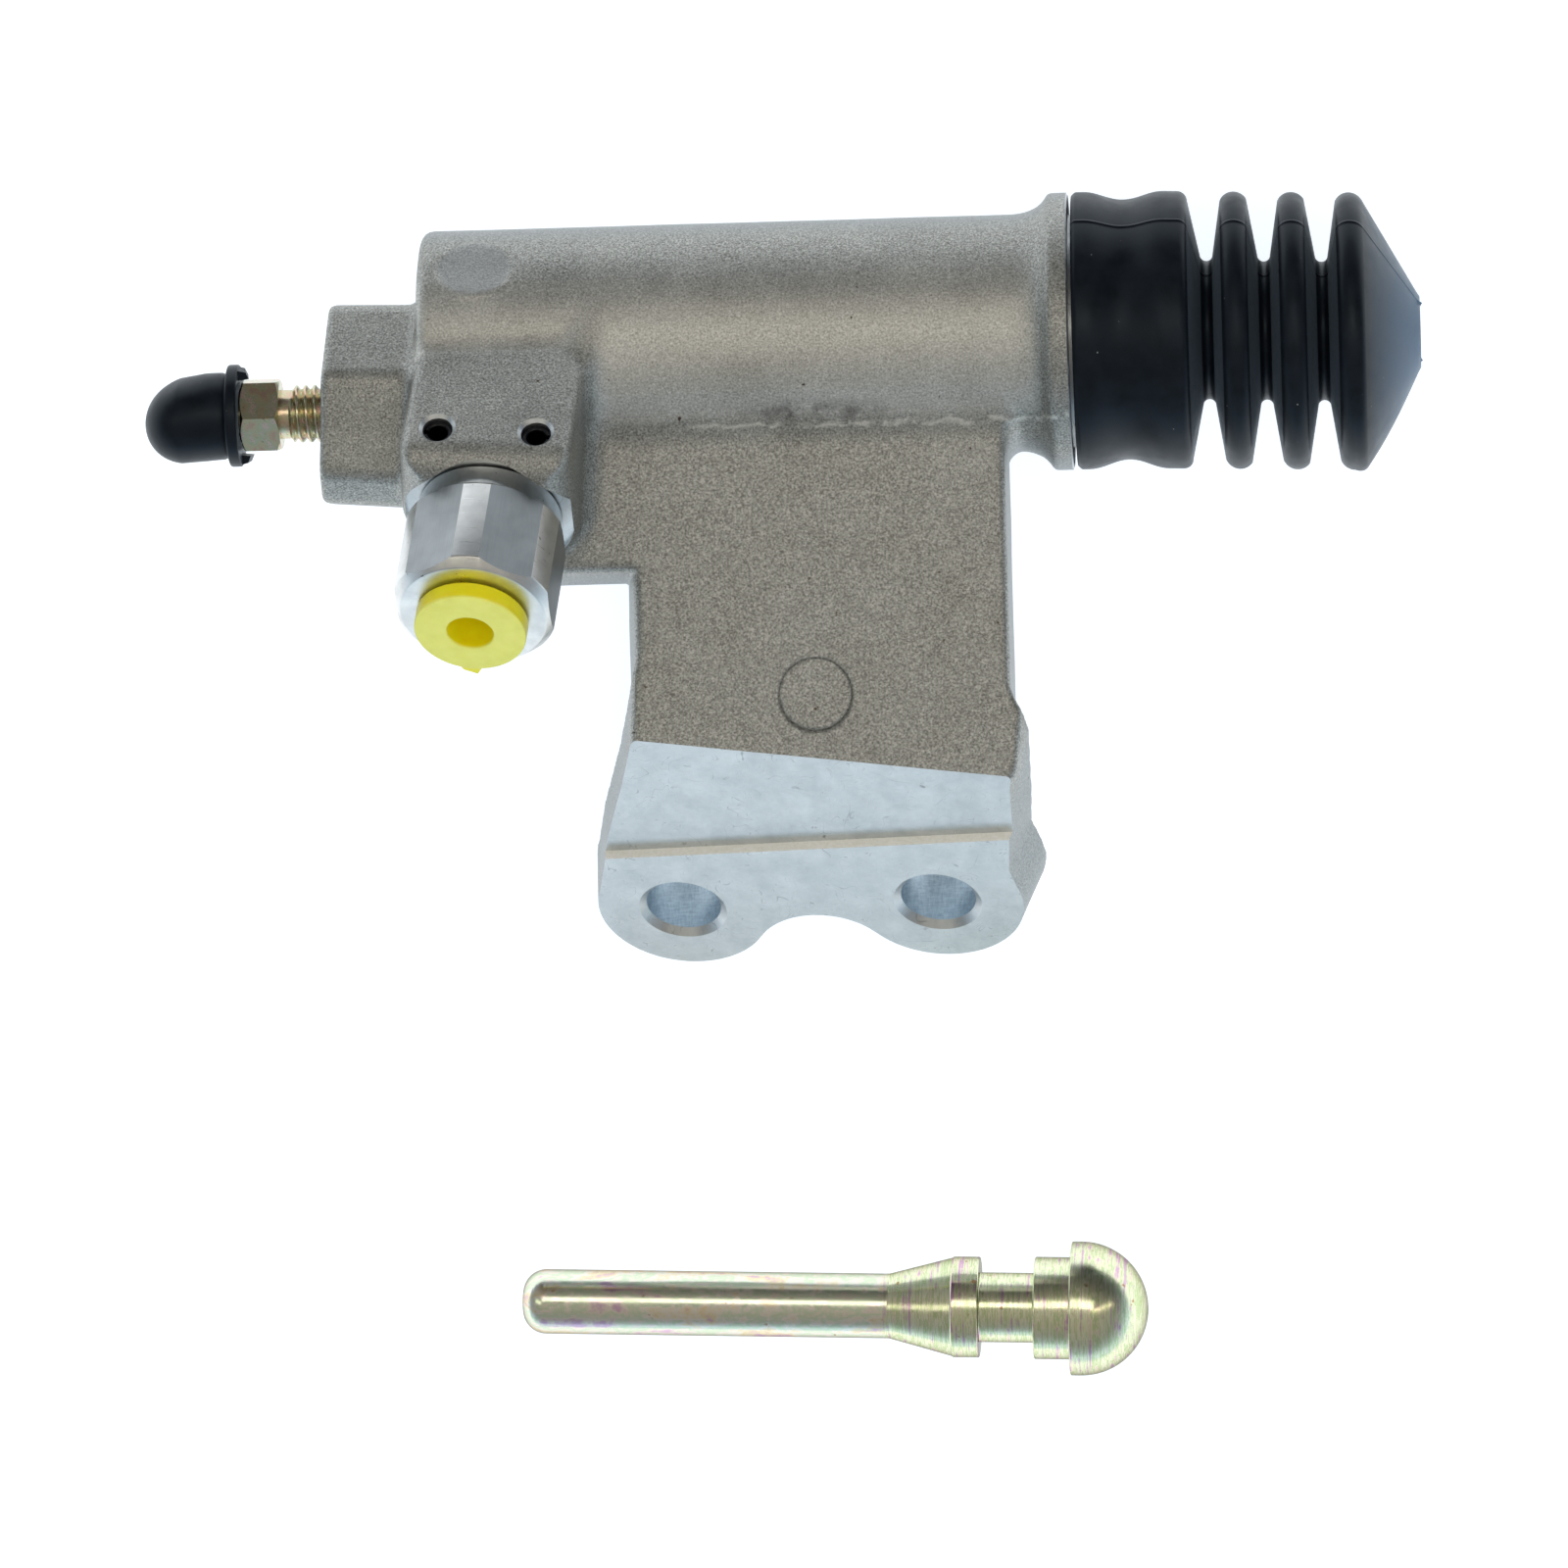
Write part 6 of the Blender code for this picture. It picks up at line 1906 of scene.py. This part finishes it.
def set_floor():
    reach = 1.6
    corners = [(-reach, -reach, 0.0), (reach, -reach, 0.0), (reach, reach, 0.0), (-reach, reach, 0.0)]
    floor = linked("ground", mesh_of("ground", corners, [(0, 1, 2, 3)], [floor_material()]))


def set_world():
    """A tent of light by the angle from overhead: warm grey there, then cooler, then bright low down."""
    tent = bpy.data.worlds.new("tent")
    bpy.context.scene.world = tent
    graph = Graph(tent, "TexCoord", "Generated")
    turn = WORLD.to_3x3()
    stops = [(math.cos(math.radians(angle)), colour) for angle, colour in reversed(TENT)]
    glow = graph.along(turn @ Vector((0.0, 0.0, 1.0))).ramp(*stops)
    shade = graph.along(turn @ Vector(DARK_SIDE)).levels(0.3, 0.85, 1.0, 0.30)
    dimmed = graph.node("VectorMath", "Vector", {0: glow, "Scale": shade}, operation="SCALE")
    background = graph.tree.nodes["Background"].inputs
    graph.put(background["Color"], dimmed)
    graph.put(background["Strength"], 1.0)


def add_lamp(name, spot, size, radiance, colour, in_metal):
    """A soft box at a spot in the cylinder's frame, facing its middle, as bright as a radiance says."""
    data = bpy.data.lights.new(name, "AREA")
    data.shape = "RECTANGLE"
    data.size, data.size_y = size
    data.energy = radiance * math.pi * size[0] * size[1]
    data.color = colour
    lamp = linked(name, data)
    lamp.location = WORLD @ Vector(spot)
    lamp.rotation_mode = "QUATERNION"
    toward = WORLD @ Vector(LAMPS_FACE) - lamp.location
    lamp.rotation_quaternion = toward.to_track_quat("-Z", "Y")
    lamp.visible_glossy = in_metal


# Assembly


def dress():
    skirt, head = piston_grooves()
    make_casting()
    make_boot()
    make_piston()
    make_cup("head_cup", head)
    make_cup("skirt_cup", skirt)
    make_spring()
    make_hose_joint()
    make_o_ring()
    make_pin("slotted_pin_left")
    make_pin("slotted_pin_right")
    make_plug()
    make_bleed_screw()
    make_cap()
    make_rod()


WORLD = cylinder_in_world()
FINISHES = make_finishes()
bpy.context.scene.view_settings.view_transform = "Standard"
dress()
set_camera()
set_floor()
set_world()
for lamp in LAMPS:
    add_lamp(*lamp)
bpy.context.view_layer.update()
